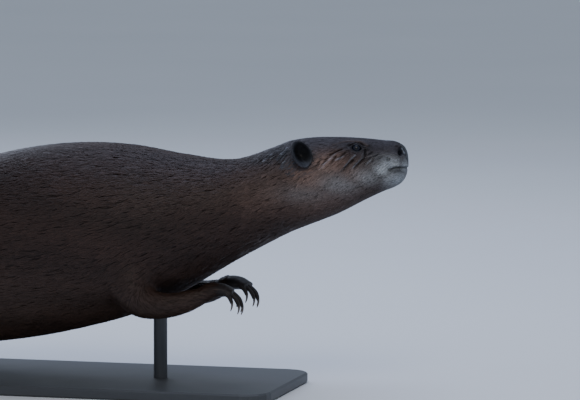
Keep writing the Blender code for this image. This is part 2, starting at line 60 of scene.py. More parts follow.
# behind, top, bottom, half width, belt, power above the belt, power below it
sections = np.array((
    (0.5, -23, -34, 6, 0.50, 2.1, 2.1),
    (1.6, -17.5, -40, 11.5, 0.48, 2.2, 2.2),
    (4, -11.5, -47, 17.5, 0.46, 2.3, 2.4),
    (8, -7.8, -52, 22, 0.45, 2.3, 2.5),
    (14, -4.8, -56, 25.5, 0.44, 2.3, 2.6),
    (28, -3.1, -62, 29, 0.43, 2.3, 2.6),
    (45, -1.4, -70, 33, 0.43, 2.3, 2.5),
    (80, 0.3, -88, 46, 0.42, 2.4, 2.4),
    (120, -1.6, -104, 54, 0.43, 2.4, 2.3),
    (137, -5, -111, 55, 0.45, 2.3, 2.2),
    (149, -9.8, -117, 56, 0.46, 2.2, 2.2),
    (195, -25.4, -142, 64, 0.49, 2.1, 2.1),
    (260, -22, -181, 86.5, 0.48, 2.1, 2.2),
    (326, -12.3, -212, 107, 0.46, 2.1, 2.3),
    (367, -10.7, -224, 115, 0.46, 2.1, 2.3),
    (480, -25, -246, 125, 0.46, 2.1, 2.3),
    (675, -113, -244, 101, 0.49, 2.1, 2.1),
    (745, -149, -221, 65, 0.50, 2, 2),
    (770, -159, -212, 51, 0.50, 2, 2),
    (820, -171, -202, 36, 0.50, 2, 2),
    (850, -175, -199, 33, 0.50, 2, 2),
))

# middle, push outwards, reach
headForms = (
    ((15, 22, -26), 2.4, 9),  # whisker pad
    ((24, 27, -38), -1.6, 7),  # corner of the mouth
    ((48, 25, -6), 1.8, 12),  # brow
    ((58, 30, -13), -1.8, 8),  # eye hollow
    ((90, 48, -48), 3.5, 22),  # cheek
)


def smoothThrough(knots, values, at):
    steps = np.diff(knots)[:, None]
    slopes = np.diff(values, axis=0) / steps
    inner = (slopes[:-1] * steps[1:] + slopes[1:] * steps[:-1]) / (steps[:-1] + steps[1:])
    tangents = np.vstack([slopes[:1], inner, slopes[-1:]])
    at = np.clip(at, knots[0], knots[-1])
    i = np.clip(np.searchsorted(knots, at, side="right") - 1, 0, len(steps) - 1)
    step = steps[i]
    t = (at - knots[i])[:, None] / step
    return (
        values[i] * (1 + 2 * t) * (1 - t) ** 2
        + tangents[i] * step * t * (1 - t) ** 2
        + values[i + 1] * t * t * (3 - 2 * t)
        + tangents[i + 1] * step * t * t * (t - 1)
    )


def rampUp(x, low, high):
    t = np.clip((np.asarray(x, float) - low) / (high - low), 0, 1)
    return t * t * (3 - 2 * t)


def signedPower(x, power):
    return np.sign(x) * np.abs(x) ** power


def unit(vectors):
    return vectors / np.maximum(np.linalg.norm(vectors, axis=-1, keepdims=True), 1e-9)


def place(points, turning=True):
    # body measures to the row frame
    points = np.asarray(points, float).reshape(-1, 3)
    bend = plan["turnStarts"] - plan["turnEnds"]
    radius = bend / plan["headTurn"]
    share = np.clip((plan["turnStarts"] - points[:, 0]) / bend, 0, 1) * turning
    angle, lean = plan["headTurn"] * share, plan["headLean"] * share
    height = points[:, 2] - plan["leanAxis"]
    side = points[:, 1] * np.cos(lean) - height * np.sin(lean)
    raised = points[:, 1] * np.sin(lean) + height * np.cos(lean) + plan["leanAxis"]
    ahead = np.where(share > 0, 0.0, plan["turnStarts"] - points[:, 0])
    ahead += np.where(share >= 1, plan["turnEnds"] - points[:, 0], 0.0)
    x = radius * np.sin(angle) + ahead * np.cos(angle) - side * np.sin(angle)
    y = radius * (1 - np.cos(angle)) + ahead * np.sin(angle) + side * np.cos(angle)
    x += plan["noseAhead"] - plan["turnStarts"]
    return np.column_stack([x, y, raised + plan["crownHeight"]]) * mm


def unplace(points):
    # the row frame to body measures
    x = points[:, 0] / mm - plan["noseAhead"] + plan["turnStarts"]
    y = points[:, 1] / mm
    raised = points[:, 2] / mm - plan["crownHeight"] - plan["leanAxis"]
    bend = plan["turnStarts"] - plan["turnEnds"]
    full = plan["headTurn"]
    radius = bend / full
    ahead = x * math.cos(full) - (radius - y) * math.sin(full)
    rigidSide = radius - x * math.sin(full) - (radius - y) * math.cos(full)
    angle = np.arctan2(x, radius - y)
    rigid, straight = ahead > 0, x <= 0
    share = np.where(rigid, 1.0, np.where(straight, 0.0, angle / full))
    bentSide = radius - np.hypot(x, radius - y)
    side = np.where(rigid, rigidSide, np.where(straight, y, bentSide))
    behind = plan["turnStarts"] - np.where(straight, x, share * bend) - np.where(rigid, ahead, 0)
    lean = plan["headLean"] * share
    return np.column_stack([
        behind,
        side * np.cos(lean) + raised * np.sin(lean),
        raised * np.cos(lean) - side * np.sin(lean) + plan["leanAxis"],
    ])


def oneSided(body):
    folded = body.copy()
    folded[:, 1] = np.abs(folded[:, 1])
    return folded


def near(body, middle, reach):
    # 1 at the middle, fading with distance, the same on both sides of the animal
    away = (oneSided(body) - middle) / reach
    return np.exp(-(away**2).sum(axis=1))


def formPush(body):
    return sum(swell * near(body, middle, reach) for middle, swell, reach in headForms)


def coatDepth(behind):
    # how far the skin lies under the tips of the coat
    along = (0, 12, 30, 80, 150, 240, 600, 765, 850)
    return np.interp(behind, along, (0.1, 0.4, 0.8, 1.2, 1.8, 2.2, 2.3, 1.8, 0.5))


def sectionParts(behind, upper):
    at = smoothThrough(sections[:, 0], sections, behind)
    belt = at[:, 2] + at[:, 4] * (at[:, 1] - at[:, 2])
    power = np.where(upper, at[:, 5], at[:, 6])
    reach = np.where(upper, at[:, 1] - belt, belt - at[:, 2])
    return belt, at[:, 3], reach, power


def corePoints(behind, turn):
    belt, halfWidth, reach, power = sectionParts(behind, np.cos(turn) >= 0)
    side = halfWidth * signedPower(np.sin(turn), 2 / power)
    height = reach * signedPower(np.cos(turn), 2 / power)
    outwards = unit(np.column_stack([np.zeros_like(side), side, height]))
    points = np.column_stack([behind, side, belt + height])
    return points + outwards * (formPush(points) - coatDepth(behind))[:, None]


def ontoCore(body):
    # the same direction from the belt line, moved to the smooth section, and how far off it the point was
    belt = sectionParts(body[:, 0], body[:, 2] >= 0)[0]
    away = np.column_stack([body[:, 1], body[:, 2] - belt])
    radius = np.linalg.norm(away, axis=1)
    way = away / radius[:, None]
    _, halfWidth, reach, power = sectionParts(body[:, 0], way[:, 1] >= 0)
    shares = np.abs(way[:, 0] / halfWidth) ** power + np.abs(way[:, 1] / reach) ** power
    smooth = shares ** (-1 / power)
    onSection = np.column_stack([body[:, 0], way[:, 0] * smooth, belt + way[:, 1] * smooth])
    smooth += formPush(onSection) - coatDepth(body[:, 0])
    return np.column_stack([body[:, 0], way[:, 0] * smooth, belt + way[:, 1] * smooth]), radius - smooth


# Meshes


def shell(rings):
    # a closed shell through equal rings, with a fan at each end
    count, sides = len(rings), len(rings[0])
    points = np.concatenate([*rings, rings[0].mean(axis=0)[None], rings[-1].mean(axis=0)[None]])
    faces = []
    for i in range(count - 1):
        for j in range(sides):
            k = (j + 1) % sides
            faces.append((i * sides + j, i * sides + k, (i + 1) * sides + k, (i + 1) * sides + j))
    last = (count - 1) * sides
    for j in range(sides):
        k = (j + 1) % sides
        faces.append((count * sides, k, j))
        faces.append((count * sides + 1, last + j, last + k))
    return points, faces


def joined(shells):
    points, faces, offset = [], [], 0
    for shellPoints, shellFaces in shells:
        points.append(shellPoints)
        faces.extend(tuple(i + offset for i in face) for face in shellFaces)
        offset += len(shellPoints)
    return np.concatenate(points), faces


def inScene(name, data):
    thing = bpy.data.objects.new(name, data)
    bpy.context.scene.collection.objects.link(thing)
    return thing


def rework(mesh, change):
    work = bmesh.new()
    work.from_mesh(mesh)
    change(work)
    work.to_mesh(mesh)
    work.free()


def plainMesh(name, shells):
    points, faces = joined(shells)
    mesh = bpy.data.meshes.new(name)
    mesh.from_pydata(points.tolist(), [], faces)
    rework(mesh, lambda work: bmesh.ops.recalc_face_normals(work, faces=work.faces))
    return mesh


def trianglesMesh(name, points, triangles):
    mesh = bpy.data.meshes.new(name)
    mesh.vertices.add(len(points))
    mesh.vertices.foreach_set("co", points.astype(np.float32).ravel())
    mesh.loops.add(triangles.size)
    mesh.loops.foreach_set("vertex_index", triangles.astype(np.int32).ravel())
    mesh.polygons.add(len(triangles))
    mesh.polygons.foreach_set("loop_start", (np.arange(len(triangles)) * 3).astype(np.int32))
    mesh.update(calc_edges=True)
    mesh.shade_smooth()
    return mesh


def readAll(items, name, size=3, kind=np.float32):
    values = np.empty(len(items) * size, kind)
    items.foreach_get(name, values)
    return values.reshape(-1, size)


def readMesh(mesh):
    return readAll(mesh.vertices, "co").astype(float), readAll(mesh.edges, "vertices", 2, np.int32)


def writePoints(mesh, points):
    mesh.vertices.foreach_set("co", points.astype(np.float32).ravel())
    mesh.update()


def applied(source):
    # the mesh with its modifiers, and the object gone
    graph = bpy.context.evaluated_depsgraph_get()
    mesh = bpy.data.meshes.new_from_object(source.evaluated_get(graph))
    bpy.data.objects.remove(source)
    return mesh


def voxelMesh(name, shells, voxel):
    source = inScene(name, plainMesh(name, shells))
    step = source.modifiers.new("voxels", "REMESH")
    step.mode = "VOXEL"
    step.voxel_size = voxel * mm
    return applied(source)


def pointTree(points):
    tree = KDTree(len(points))
    for i, point in enumerate(points):
        tree.insert(point, i)
    tree.balance()
    return tree


def relaxed(points, edges, weights, rounds, keep=0.0):
    # each point moves towards the middle of its neighbours, and keep pushes back against shrinking
    start, end = np.concatenate([edges, edges[:, ::-1]]).T
    total = len(points)
    count = np.maximum(np.bincount(start, minlength=total), 1)[:, None]
    for pull in ((0.5, -0.5 * keep) if keep else (0.5,)) * rounds:
        sums = [np.bincount(start, weights=points[end, k], minlength=total) for k in range(3)]
        points = points + (np.column_stack(sums) / count - points) * (pull * weights)[:, None]
    return points


def addValues(mesh, name, values):
    values = np.asarray(values, np.float32)
    kind, key = ("FLOAT", "value") if values.ndim == 1 else ("FLOAT_VECTOR", "vector")
    mesh.attributes.new(name, kind, "POINT").data.foreach_set(key, values.ravel())


def addBakeMap(mesh, uv):
    mesh.uv_layers.new(name="OFBake").data.foreach_set("uv", uv.astype(np.float32).ravel())


def newPiece(name, mesh, surface):
    piece = inScene(name, mesh)
    mesh.materials.clear()
    mesh.materials.append(surface)
    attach(piece, "root")
    return piece


# Surfaces


def hexColour(code, alpha=1.0):
    parts = [int(code[i:i + 2], 16) / 255 for i in (1, 3, 5)]
    return (*[c / 12.92 if c <= 0.04045 else ((c + 0.055) / 1.055) ** 2.4 for c in parts], alpha)


def fill(tree, node, inputs):
    # sockets are linked, hex colours turned to linear, and other values set
    for key, value in inputs.items():
        if isinstance(value, bpy.types.NodeSocket):
            tree.links.new(value, node.inputs[key])
        else:
            node.inputs[key].default_value = hexColour(value) if isinstance(value, str) else value


def addNode(tree, kind, inputs=None, output=0, **settings):
    made = tree.nodes.new("ShaderNode" + kind)
    for key, value in settings.items():
        setattr(made, key, value)
    fill(tree, made, inputs or {})
    return made.outputs[output]


def newSurface(name):
    surface = bpy.data.materials.new(name)
    surface.use_nodes = True
    return surface, surface.node_tree, surface.node_tree.nodes["Principled BSDF"]


rgba = {"output": 2, "data_type": "RGBA"}  # a Mix node of two colours: they go into its sockets 6 and 7


# the Tip colours are paler: a painted highlight where the tips of the locks catch the light
furColours = {
    "trunk": "#221611",
    "trunkTip": "#3a2923",
    "crown": "#201b1d",
    "crownTip": "#383137",
    "cheek": "#5a4338",
    "cheekTip": "#8a6f63",
    "pale": "#949a9e",
    "paleTip": "#dfe5e8",
    "under": "#3a2b23",
    # the pale blue-grey of the painted highlights
    "paintedLight": "#a9b2be",
    "bare": "#11131a",
}


def furTone(tree, strand):
    # the markings: dark trunk, slate crown, rusty cheeks, pale lips, lock tips paler as a painted highlight,
    # painted highlights where wet streaks catch the light, painted shade in the furrows between them, and
    # bare black skin at the nose and lids
    mask = {}
    for name in ("alongLock", "lockTone", "crownSlate", "cheekRust", "lipPale", "underPale", "paintedHighlight",
                 "paintedShade", "bareDark"):
        mask[name] = addNode(tree, "Attribute", output="Fac", attribute_name=name)

    def over(mark, below, colour):
        return addNode(tree, "Mix", {0: mask[mark], 6: below, 7: colour}, **rgba)

    tone = over("alongLock", furColours["trunk"], furColours["trunkTip"])
    tone = over("underPale", tone, furColours["under"])
    for mark, base in (("crownSlate", "crown"), ("cheekRust", "cheek"), ("lipPale", "pale")):
        tone = over(mark, tone, over("alongLock", furColours[base], furColours[base + "Tip"]))
    # bare skin, then the painted highlights in pale blue-grey laid over everything
    tone = over("paintedHighlight", over("bareDark", tone, furColours["bare"]), furColours["paintedLight"])
    lock = addNode(tree, "MapRange", {"Value": mask["lockTone"], "To Min": 0.6, "To Max": 1.4})
    hair = addNode(tree, "MapRange", {
        "Value": strand, "From Min": 0.3, "From Max": 0.7, "To Min": 0.62, "To Max": 1.3,
    })
    # painted shade in the furrows, partings and hollows and around the lids
    fold = addNode(tree, "MapRange", {"Value": mask["paintedShade"], "To Min": 1.0, "To Max": 0.12})
    shade = addNode(tree, "Math", {0: lock, 1: hair}, operation="MULTIPLY")
    shade = addNode(tree, "Math", {0: shade, 1: fold}, operation="MULTIPLY")
    grey = addNode(tree, "CombineColor", {k: shade for k in range(3)})
    return addNode(tree, "Mix", {0: 1.0, 6: tone, 7: grey}, blend_type="MULTIPLY", **rgba)


def strandNoise(tree):
    # single hairs, drawn 0.3 mm apart so that they show
    where = addNode(tree, "Attribute", output="Vector", attribute_name="strandPlace")
    return addNode(tree, "TexNoise", {"Vector": where, "Scale": 1.0, "Detail": 2.0})


def wetGuardHair():
    # locks of keratin guard hair soaked together: dark, with a water film that gives a narrow sheen
    surface, tree, shader = newSurface("wetGuardHair")
    strand = strandNoise(tree)
    fill(tree, shader, {
        "Base Color": furTone(tree, strand), "Roughness": 0.5, "IOR": 1.55, "Specular IOR Level": 0.2,
        "Coat Weight": 0.11, "Coat Roughness": 0.24, "Coat IOR": 1.33,
        "Normal": addNode(tree, "Bump", {"Strength": 0.5, "Distance": 0.3 * mm, "Height": strand}),
    })
    return surface


def footTone(tree, where, edge, toe):
    # hairless skin in dark slate, blotched, paler on the toes, with darker grooves between its small scales
    blotch = addNode(tree, "TexNoise", {"Vector": where, "Scale": 0.09 / mm, "Detail": 5.0})
    tone = addNode(tree, "Mix", {0: blotch, 6: "#1f1c1d", 7: "#3d3634"}, **rgba)
    worn = addNode(tree, "Math", {0: toe, 1: 0.55}, operation="MULTIPLY")
    tone = addNode(tree, "Mix", {0: worn, 6: tone, 7: "#554c47"}, **rgba)
    return addNode(tree, "Mix", {0: edge, 6: "#131112", 7: tone}, **rgba)


def wetHide():
    # the skin under the coat: felted underfur, pebbled bare skin at the nose and lids, and on the feet
    # reticulate scales about 1.5 mm across, with bands over the toes, all under a film of water
    bandStep = 2.6  # mm
    surface, tree, shader = newSurface("wetHide")
    mark = {name: addNode(tree, "Attribute", output="Fac", attribute_name=name)
            for name in ("bareDark", "footSkin", "paintedShade", "toeBack", "alongFoot")}
    where = addNode(tree, "TexCoord", output="Object")
    strand = strandNoise(tree)
    pebble = addNode(tree, "TexVoronoi", {"Vector": where, "Scale": 1.1 / mm}, feature="SMOOTH_F1")
    cells = addNode(tree, "TexVoronoi", {"Vector": where, "Scale": 0.65 / mm}, feature="DISTANCE_TO_EDGE")
    edge = addNode(tree, "MapRange", {"Value": cells, "From Max": 0.12})
    band = addNode(tree, "Math", {0: mark["alongFoot"], 1: 2 * math.pi / bandStep}, operation="MULTIPLY")
    band = addNode(tree, "Math", {0: band}, operation="SINE")
    band = addNode(tree, "MapRange", {"Value": band, "From Min": -1.0, "From Max": -0.2})
    edge = addNode(tree, "Mix", {0: mark["toeBack"], 2: edge, 3: band})
    relief = addNode(tree, "Mix", {0: mark["bareDark"], 2: strand, 3: pebble})
    relief = addNode(tree, "Mix", {0: mark["footSkin"], 2: relief, 3: edge})
    # the skin seen between the locks is darker: painted shade under the coat
    shadeUnderCoat = addNode(tree, "MapRange", {"Value": mark["bareDark"], "To Min": 0.8, "To Max": 1.0})
    grey = addNode(tree, "CombineColor", {k: shadeUnderCoat for k in range(3)})
    tone = addNode(tree, "Mix", {0: 1.0, 6: furTone(tree, strand), 7: grey}, blend_type="MULTIPLY", **rgba)
    feet = footTone(tree, where, edge, mark["toeBack"])
    rough = addNode(tree, "MapRange", {"Value": mark["bareDark"], "To Min": 0.5, "To Max": 0.4})
    fill(tree, shader, {
        "Base Color": addNode(tree, "Mix", {0: mark["footSkin"], 6: tone, 7: feet}, **rgba),
        "Roughness": addNode(tree, "Math", {0: mark["paintedShade"], 1: 0.45, 2: rough},
                             operation="MULTIPLY_ADD"),
        "IOR": 1.5, "Specular IOR Level": 0.15, "Coat Weight": 0.15, "Coat Roughness": 0.2, "Coat IOR": 1.33,
        "Normal": addNode(tree, "Bump", {"Strength": 0.5, "Distance": 0.5 * mm, "Height": relief}),
    })
    return surface


def wetHornyScale():
    # keratin scales of the tail, wetted: slate black, paler towards each scale's crown
    surface, tree, shader = newSurface("wetHornyScale")
    crown = addNode(tree, "Attribute", output="Fac", attribute_name="scaleCrown")
    tone = addNode(tree, "Attribute", output="Fac", attribute_name="lockTone")
    where = addNode(tree, "TexCoord", output="Object")
    worn = addNode(tree, "TexNoise", {"Vector": where, "Scale": 0.06 / mm, "Detail": 4.0})
    fine = addNode(tree, "TexNoise", {"Vector": where, "Scale": 1.5 / mm, "Detail": 2.0})
    base = addNode(tree, "Mix", {0: tone, 6: "#1b191b", 7: "#2f2b2b"}, **rgba)
    base = addNode(tree, "Mix", {0: worn, 6: base, 7: "#272221"}, **rgba)
    crownPaling = addNode(tree, "Math", {0: crown, 1: 0.45}, operation="MULTIPLY")
    fill(tree, shader, {
        "Base Color": addNode(tree, "Mix", {0: crownPaling, 6: base, 7: "#4a4442"}, **rgba),
        "Roughness": 0.4, "IOR": 1.55, "Coat Weight": 0.4, "Coat Roughness": 0.2, "Coat IOR": 1.33,
        "Normal": addNode(tree, "Bump", {"Strength": 0.3, "Distance": 0.3 * mm, "Height": fine}),
    })
    return surface


def wornClaw():
    # horn: dark and glossy at the root, paler and scratched towards the tip
    surface, tree, shader = newSurface("wornClaw")
    along = addNode(tree, "Attribute", output="Fac", attribute_name="alongLock")
    where = addNode(tree, "TexCoord", output="Object")
    streak = addNode(tree, "TexNoise", {"Vector": where, "Scale": 0.9 / mm, "Detail": 3.0})
    tone = addNode(tree, "Mix", {0: along, 6: "#2a221e", 7: "#7b6a58"}, **rgba)
    fill(tree, shader, {
        "Base Color": addNode(tree, "Mix", {0: streak, 6: tone, 7: "#3a302a"}, **rgba),
        "Roughness": 0.32, "IOR": 1.55, "Coat Weight": 0.2, "Coat Roughness": 0.15,
        "Normal": addNode(tree, "Bump", {"Strength": 0.2, "Distance": 0.2 * mm, "Height": streak}),
    })
    return surface


def darkEyeUnderCornea():
    # an eye whose pupil, iris and white are all dark, tinted blue as a painted reflection of the sky,
    # under a wet cornea that reflects like water
    surface, tree, shader = newSurface("darkEyeUnderCornea")
    away = addNode(tree, "Attribute", output="Fac", attribute_name="fromPupil")
    iris = addNode(tree, "MapRange", {"Value": away, "From Min": 0.30, "From Max": 0.36})
    white = addNode(tree, "MapRange", {"Value": away, "From Min": 0.66, "From Max": 0.8})
    where = addNode(tree, "TexCoord", output="Object")
    fleck = addNode(tree, "TexNoise", {"Vector": where, "Scale": 1.4 / mm, "Detail": 3.0})
    irisTone = addNode(tree, "Mix", {0: fleck, 6: "#11141f", 7: "#1a1d29"}, **rgba)
    tone = addNode(tree, "Mix", {0: iris, 6: "#090b12", 7: irisTone}, **rgba)
    fill(tree, shader, {
        "Base Color": addNode(tree, "Mix", {0: white, 6: tone, 7: "#12141c"}, **rgba),
        "Roughness": 0.08, "IOR": 1.376, "Specular IOR Level": 0.5,
    })
    return surface


def whiskerHair():
    # single stiff hairs of keratin, dark at the root and pale at the tip
    surface, tree, shader = newSurface("whiskerHair")
    along = addNode(tree, "Attribute", output="Fac", attribute_name="alongLock")
    tone = addNode(tree, "Mix", {0: along, 6: "#2c2624", 7: "#8d867c"}, **rgba)
    fill(tree, shader, {"Base Color": tone, "Roughness": 0.35, "IOR": 1.55})
    return surface


def powderCoat():
    # aluminium plate and rod with a baked powder coat: dark grey with a fine orange peel about 1 mm across
    surface, tree, shader = newSurface("powderCoat")
    where = addNode(tree, "TexCoord", output="Object")
    peel = addNode(tree, "TexNoise", {"Vector": where, "Scale": 0.9 / mm, "Detail": 2.0})
    smear = addNode(tree, "TexNoise", {"Vector": where, "Scale": 0.014 / mm, "Detail": 4.0})
    fill(tree, shader, {
        "Base Color": addNode(tree, "Mix", {0: smear, 6: "#3b3d40", 7: "#44474a"}, **rgba),
        "Roughness": addNode(tree, "MapRange", {"Value": smear, "To Min": 0.42, "To Max": 0.56}), "IOR": 1.5,
        "Normal": addNode(tree, "Bump", {"Strength": 0.12, "Distance": 0.3 * mm, "Height": peel}),
    })
    return surface


def studioPaper():
    # a seamless roll of matt paper
    surface, tree, shader = newSurface("studioPaper")
    where = addNode(tree, "TexCoord", output="Object")
    mottle = addNode(tree, "TexNoise", {"Vector": where, "Scale": 1.5, "Detail": 3.0})
    tone = addNode(tree, "Mix", {0: mottle, 6: "#dcdfe2", 7: "#e4e6e8"}, **rgba)
    fill(tree, shader, {"Base Color": tone, "Roughness": 0.85, "IOR": 1.5})
    return surface


# Body parts as shells


def around(sides):
    return np.arange(sides) * 2 * math.pi / sides


def coreShell():
    # rings close together at the nose tip, wider apart down the trunk
    behind = np.concatenate([
        0.5 + 29.5 * np.linspace(0, 1, 28) ** 1.7, np.arange(32.0, 240.0, 2.5), np.arange(240.0, 850.0, 6.0),
        [850.0],
    ])
    turn = around(160)
    return shell([place(corePoints(np.full(len(turn), b), turn)) for b in behind])


limbPlan = {
    "foreLeg": (
        ((322, 58, -112), 15, 24),
        ((318, 74, -138), 21, 29),
        ((308, 82, -164), 20, 25),
        ((290, 79, -185), 17, 19),
        ((262, 64, -190), 14.5, 15.5),
        ((236, 49, -184), 12, 12.5),
        ((222, 42, -178), 11, 9.5),
    ),
    "palm": (
        ((226, 43.6, -179.6), 10.6, 9.6),
        ((214.8, 38.4, -174.9), 13, 8.6),
        ((203, 35, -175), 14, 7.4),
        ((193, 33.5, -177.5), 13, 4.6),
    ),
    "haunch": (
        ((540, 84, -196), 12, 20),
        ((560, 88, -200), 27, 42),
        ((600, 92, -202), 36, 54),
        ((645, 90, -202), 35, 50),
        ((690, 84, -206), 28, 36),
        ((720, 82, -211), 20, 22),
        ((728, 81.4, -212.3), 18.8, 20.5),
    ),
    "digitLengths": (15, 22, 25, 23, 17),
    "digitRadii": (2.6, 2.1),
    "digitRoot": (198, 34, -177),
    "digitFan": 11.2,
    "foreClaw": 11,
    "foreClawRadii": (1.6, 0.5),
}
footPlan = {
    "right": dict(side=-1, ankle=(762, 84, -221), points=(1, 0.10, -0.10), faces=(0.1, 0.1, 1)),
    "left": dict(side=1, ankle=(752, 88, -226), points=(0.92, 0.32, -0.12), faces=(0.22, -0.16, 1)),
    "length": 152,
    "arch": 5,
    "heelHalfWidth": 16,
    "heelThickness": 21,
    "heelEdge": 1.14,
    "toesHalfWidth": 52,
    "toeLengths": (0.80, 0.92, 1.00, 0.99, 0.86),
    "toeThickness": 9.9,
    "toeSwell": 6.6,
    "toeTip": 4.7,
    "toeEdge": 1.09,
    "toeTaper": 0.32,
    "knuckle": 1.5,
    "knucklesAt": (0.5, 0.68, 0.83),
    "wrinkle": 0.22,
    "webStarts": 0.22,
    "webThickness": 2,
    "webNotch": 0.045,
    "webScallop": 0.055,
    "edgeDroop": 7,
    "claw": 16.5,
    "clawRadii": (3.4, 0.9),
}


def mirrored(point, side):
    return np.array([point[0], side * point[1], point[2]], float)


def ringAxes(along):
    across = np.array([0.0, 1.0, 0.0])
    across = unit(across - along * along.dot(across))
    return across, np.cross(along, across)


def oval(middle, across, upwards, halfWidth, halfHeight, sides):
    turn = around(sides)[:, None]
    ring = across * halfWidth * np.sin(turn) + upwards * halfHeight * np.cos(turn)
    return place(middle + ring, turning=False)


def limbRings(path, side, count, sides, depth):
    middles = np.array([mirrored(point, side) for point, _, _ in path])
    sizes = np.array([(width, height) for _, width, height in path]) - depth
    run = np.concatenate([[0], np.cumsum(np.linalg.norm(np.diff(middles, axis=0), axis=1))])
    at = np.linspace(0, run[-1], count)
    ahead = smoothThrough(run, middles, at + 0.05) - smoothThrough(run, middles, at - 0.05)
    centres, spans = smoothThrough(run, middles, at), smoothThrough(run, sizes, at)
    return [oval(c, *ringAxes(unit(a)), *s, sides) for c, a, s in zip(centres, ahead, spans)]


def tapered(start, leaves, ends, length, radii, sides, steps, knuckles=0.0):
    # a round taper that leaves one way and ends another, and where its tip is
    point, rings = np.array(start, float), []
    for share in np.arange(steps + 1) / steps:
        along = unit(leaves + (ends - leaves) * share)
        if rings:
            point = point + along * (length / steps)
        radius = radii[0] + (radii[1] - radii[0]) * share**1.4
        radius *= 1 + knuckles * math.sin(share * 3.5 * math.pi)
        rings.append(oval(point, *ringAxes(along), radius, radius, sides))
    return rings, point


def footAxes(foot):
    along = unit(mirrored(foot["points"], foot["side"]))
    up = mirrored(foot["faces"], foot["side"])
    up = unit(up - along * up.dot(along))
    return along, np.cross(up, along) * foot["side"], up


def footHalfWidth(share):
    fan = np.maximum(share - footPlan["webStarts"], 0) / (1 - footPlan["webStarts"])
    heel, toes = footPlan["heelHalfWidth"], footPlan["toesHalfWidth"]
    return heel + (toes - heel) * fan**0.9, fan


def fromToe(across, halfWidth):
    # mm from the middle line of the nearest toe
    return np.abs(across - np.clip(np.round(across * 2), -2, 2) / 2) * halfWidth


def toeRidge(across, halfWidth):
    away = np.minimum(fromToe(across, halfWidth) / footPlan["toeSwell"], 1)
    return (0.5 + 0.5 * np.cos(math.pi * away)) ** 0.7


def footPoint(foot, across, share):
    # the foot's middle surface and its half thickness
    p = footPlan
    along, outwards, up = footAxes(foot)
    halfWidth, fan = footHalfWidth(share)
    ridge = np.where(np.abs(across) > 1, 1.0, toeRidge(across, halfWidth))
    tip = np.sqrt(np.clip(1 - (fromToe(across, p["toesHalfWidth"]) / p["toeTip"]) ** 2, 0, 1))
    scallop = np.sin(2 * math.pi * fromToe(across, 1)) ** 2 * (np.abs(across) < 1)
    toe = np.interp(across, np.linspace(-1, 1, 5), p["toeLengths"])
    toe *= 1 - p["webNotch"] * (1 - tip) - p["webScallop"] * scallop
    reach = p["length"] * share * (1 + (toe - 1) * share)
    arch = p["arch"] * math.sin(math.pi * share) - p["edgeDroop"] * (share * across) ** 2
    heel = p["heelThickness"] * (1 - share) ** 1.2 * np.sqrt(1 - (across / p["heelEdge"]) ** 2)
    knuckle = p["knuckle"] * sum(np.exp(-(((share - at) / 0.035) ** 2)) for at in p["knucklesAt"])
    toeThickness = p["toeThickness"] * (1 - p["toeTaper"] * share) + knuckle
    toes = p["webThickness"] + (toeThickness - p["webThickness"]) * ridge * min(fan * 4, 1)
    outside = np.clip((np.abs(across) - 1) / (p["toeEdge"] - 1), 0, 1)
    toes *= np.sqrt(1 - 0.98 * outside**2)
    wrinkle = p["wrinkle"] * np.sin(across * 70 + 5 * share) * (1 - ridge) * fan
    half = (heel**8 + toes**8) ** 0.125 / 2 + wrinkle - 0.3
    half = np.maximum(half, 0.15) * np.sqrt(np.clip((1.0 - share) / 0.035, 0.08, 1))
    ankle = mirrored(foot["ankle"], foot["side"])
    point = ankle + along * np.reshape(reach, (-1, 1)) + outwards * np.reshape(halfWidth * across, (-1, 1))
    return point + up * np.reshape(arch, (-1, 1)), up, half


def footShell(foot):
    # columns close together over each toe's rounded tip, wider apart on the webs
    p = footPlan
    toe = p["toeTip"] * np.sin(np.linspace(-0.5, 0.5, 17) * math.pi)
    web = np.linspace(p["toeTip"] + 1, p["toesHalfWidth"] / 2 - p["toeTip"] - 1, 10)
    middles = np.linspace(-1, 1, 5) * p["toesHalfWidth"]
    columns = np.concatenate([(middles[:, None] + toe).ravel(), (middles[:-1, None] + web).ravel()])
    columns = np.clip(np.sort(columns) / p["toesHalfWidth"], -p["toeEdge"], p["toeEdge"])
    rings = []
    for share in np.concatenate([np.linspace(0, 0.95, 50), 1 - 0.05 * np.linspace(0.9, 0, 8) ** 1.5]):
        point, up, half = footPoint(foot, columns, share)
        top, under = point + up * half[:, None], point - up * half[:, None]
        rings.append(place(np.concatenate([top, under[::-1]]), turning=False))
    return shell(rings)


def shankShell(foot):
    side = foot["side"]
    along, outwards, up = footAxes(foot)
    ankle, end = mirrored(foot["ankle"], side), limbPlan["haunch"][-2]
    path = (
        ((700.0, 83.3, -207.7), end[1] * 1.2, end[2] * 1.35),
        end,
        (mirrored(ankle - along * 14.0, side), 17.0, 13.5),
    )
    rings = limbRings(path, side, 24, 64, 1.6)
    heel = (footPlan["heelHalfWidth"] * footPlan["heelEdge"] - 0.6, footPlan["heelThickness"] / 2 - 0.6)
    last = oval(ankle + along * 4.0, outwards * side, up, *heel, 64)
    rings += [rings[-1] + (last - rings[-1]) * t for t in np.linspace(0.15, 1, 6)]
    return shell(rings)


earPlan = {
    "at": (122, 51, -22.8),
    "halfHeight": 16.4,
    "halfWidth": 12.2,
    "cup": 7.5,
    "bowl": 3,
    "thickness": (4.2, 2.7),  # at the root and at the rim
    "tilt": math.radians(28),
    "opens": math.radians(56),
    "roll": (0.8, 0.88, 0.08),  # of the rim: height, and where and how wide as shares of the ear
    "fold": 0.6,
    "fringe": (108, 49, -20),
}


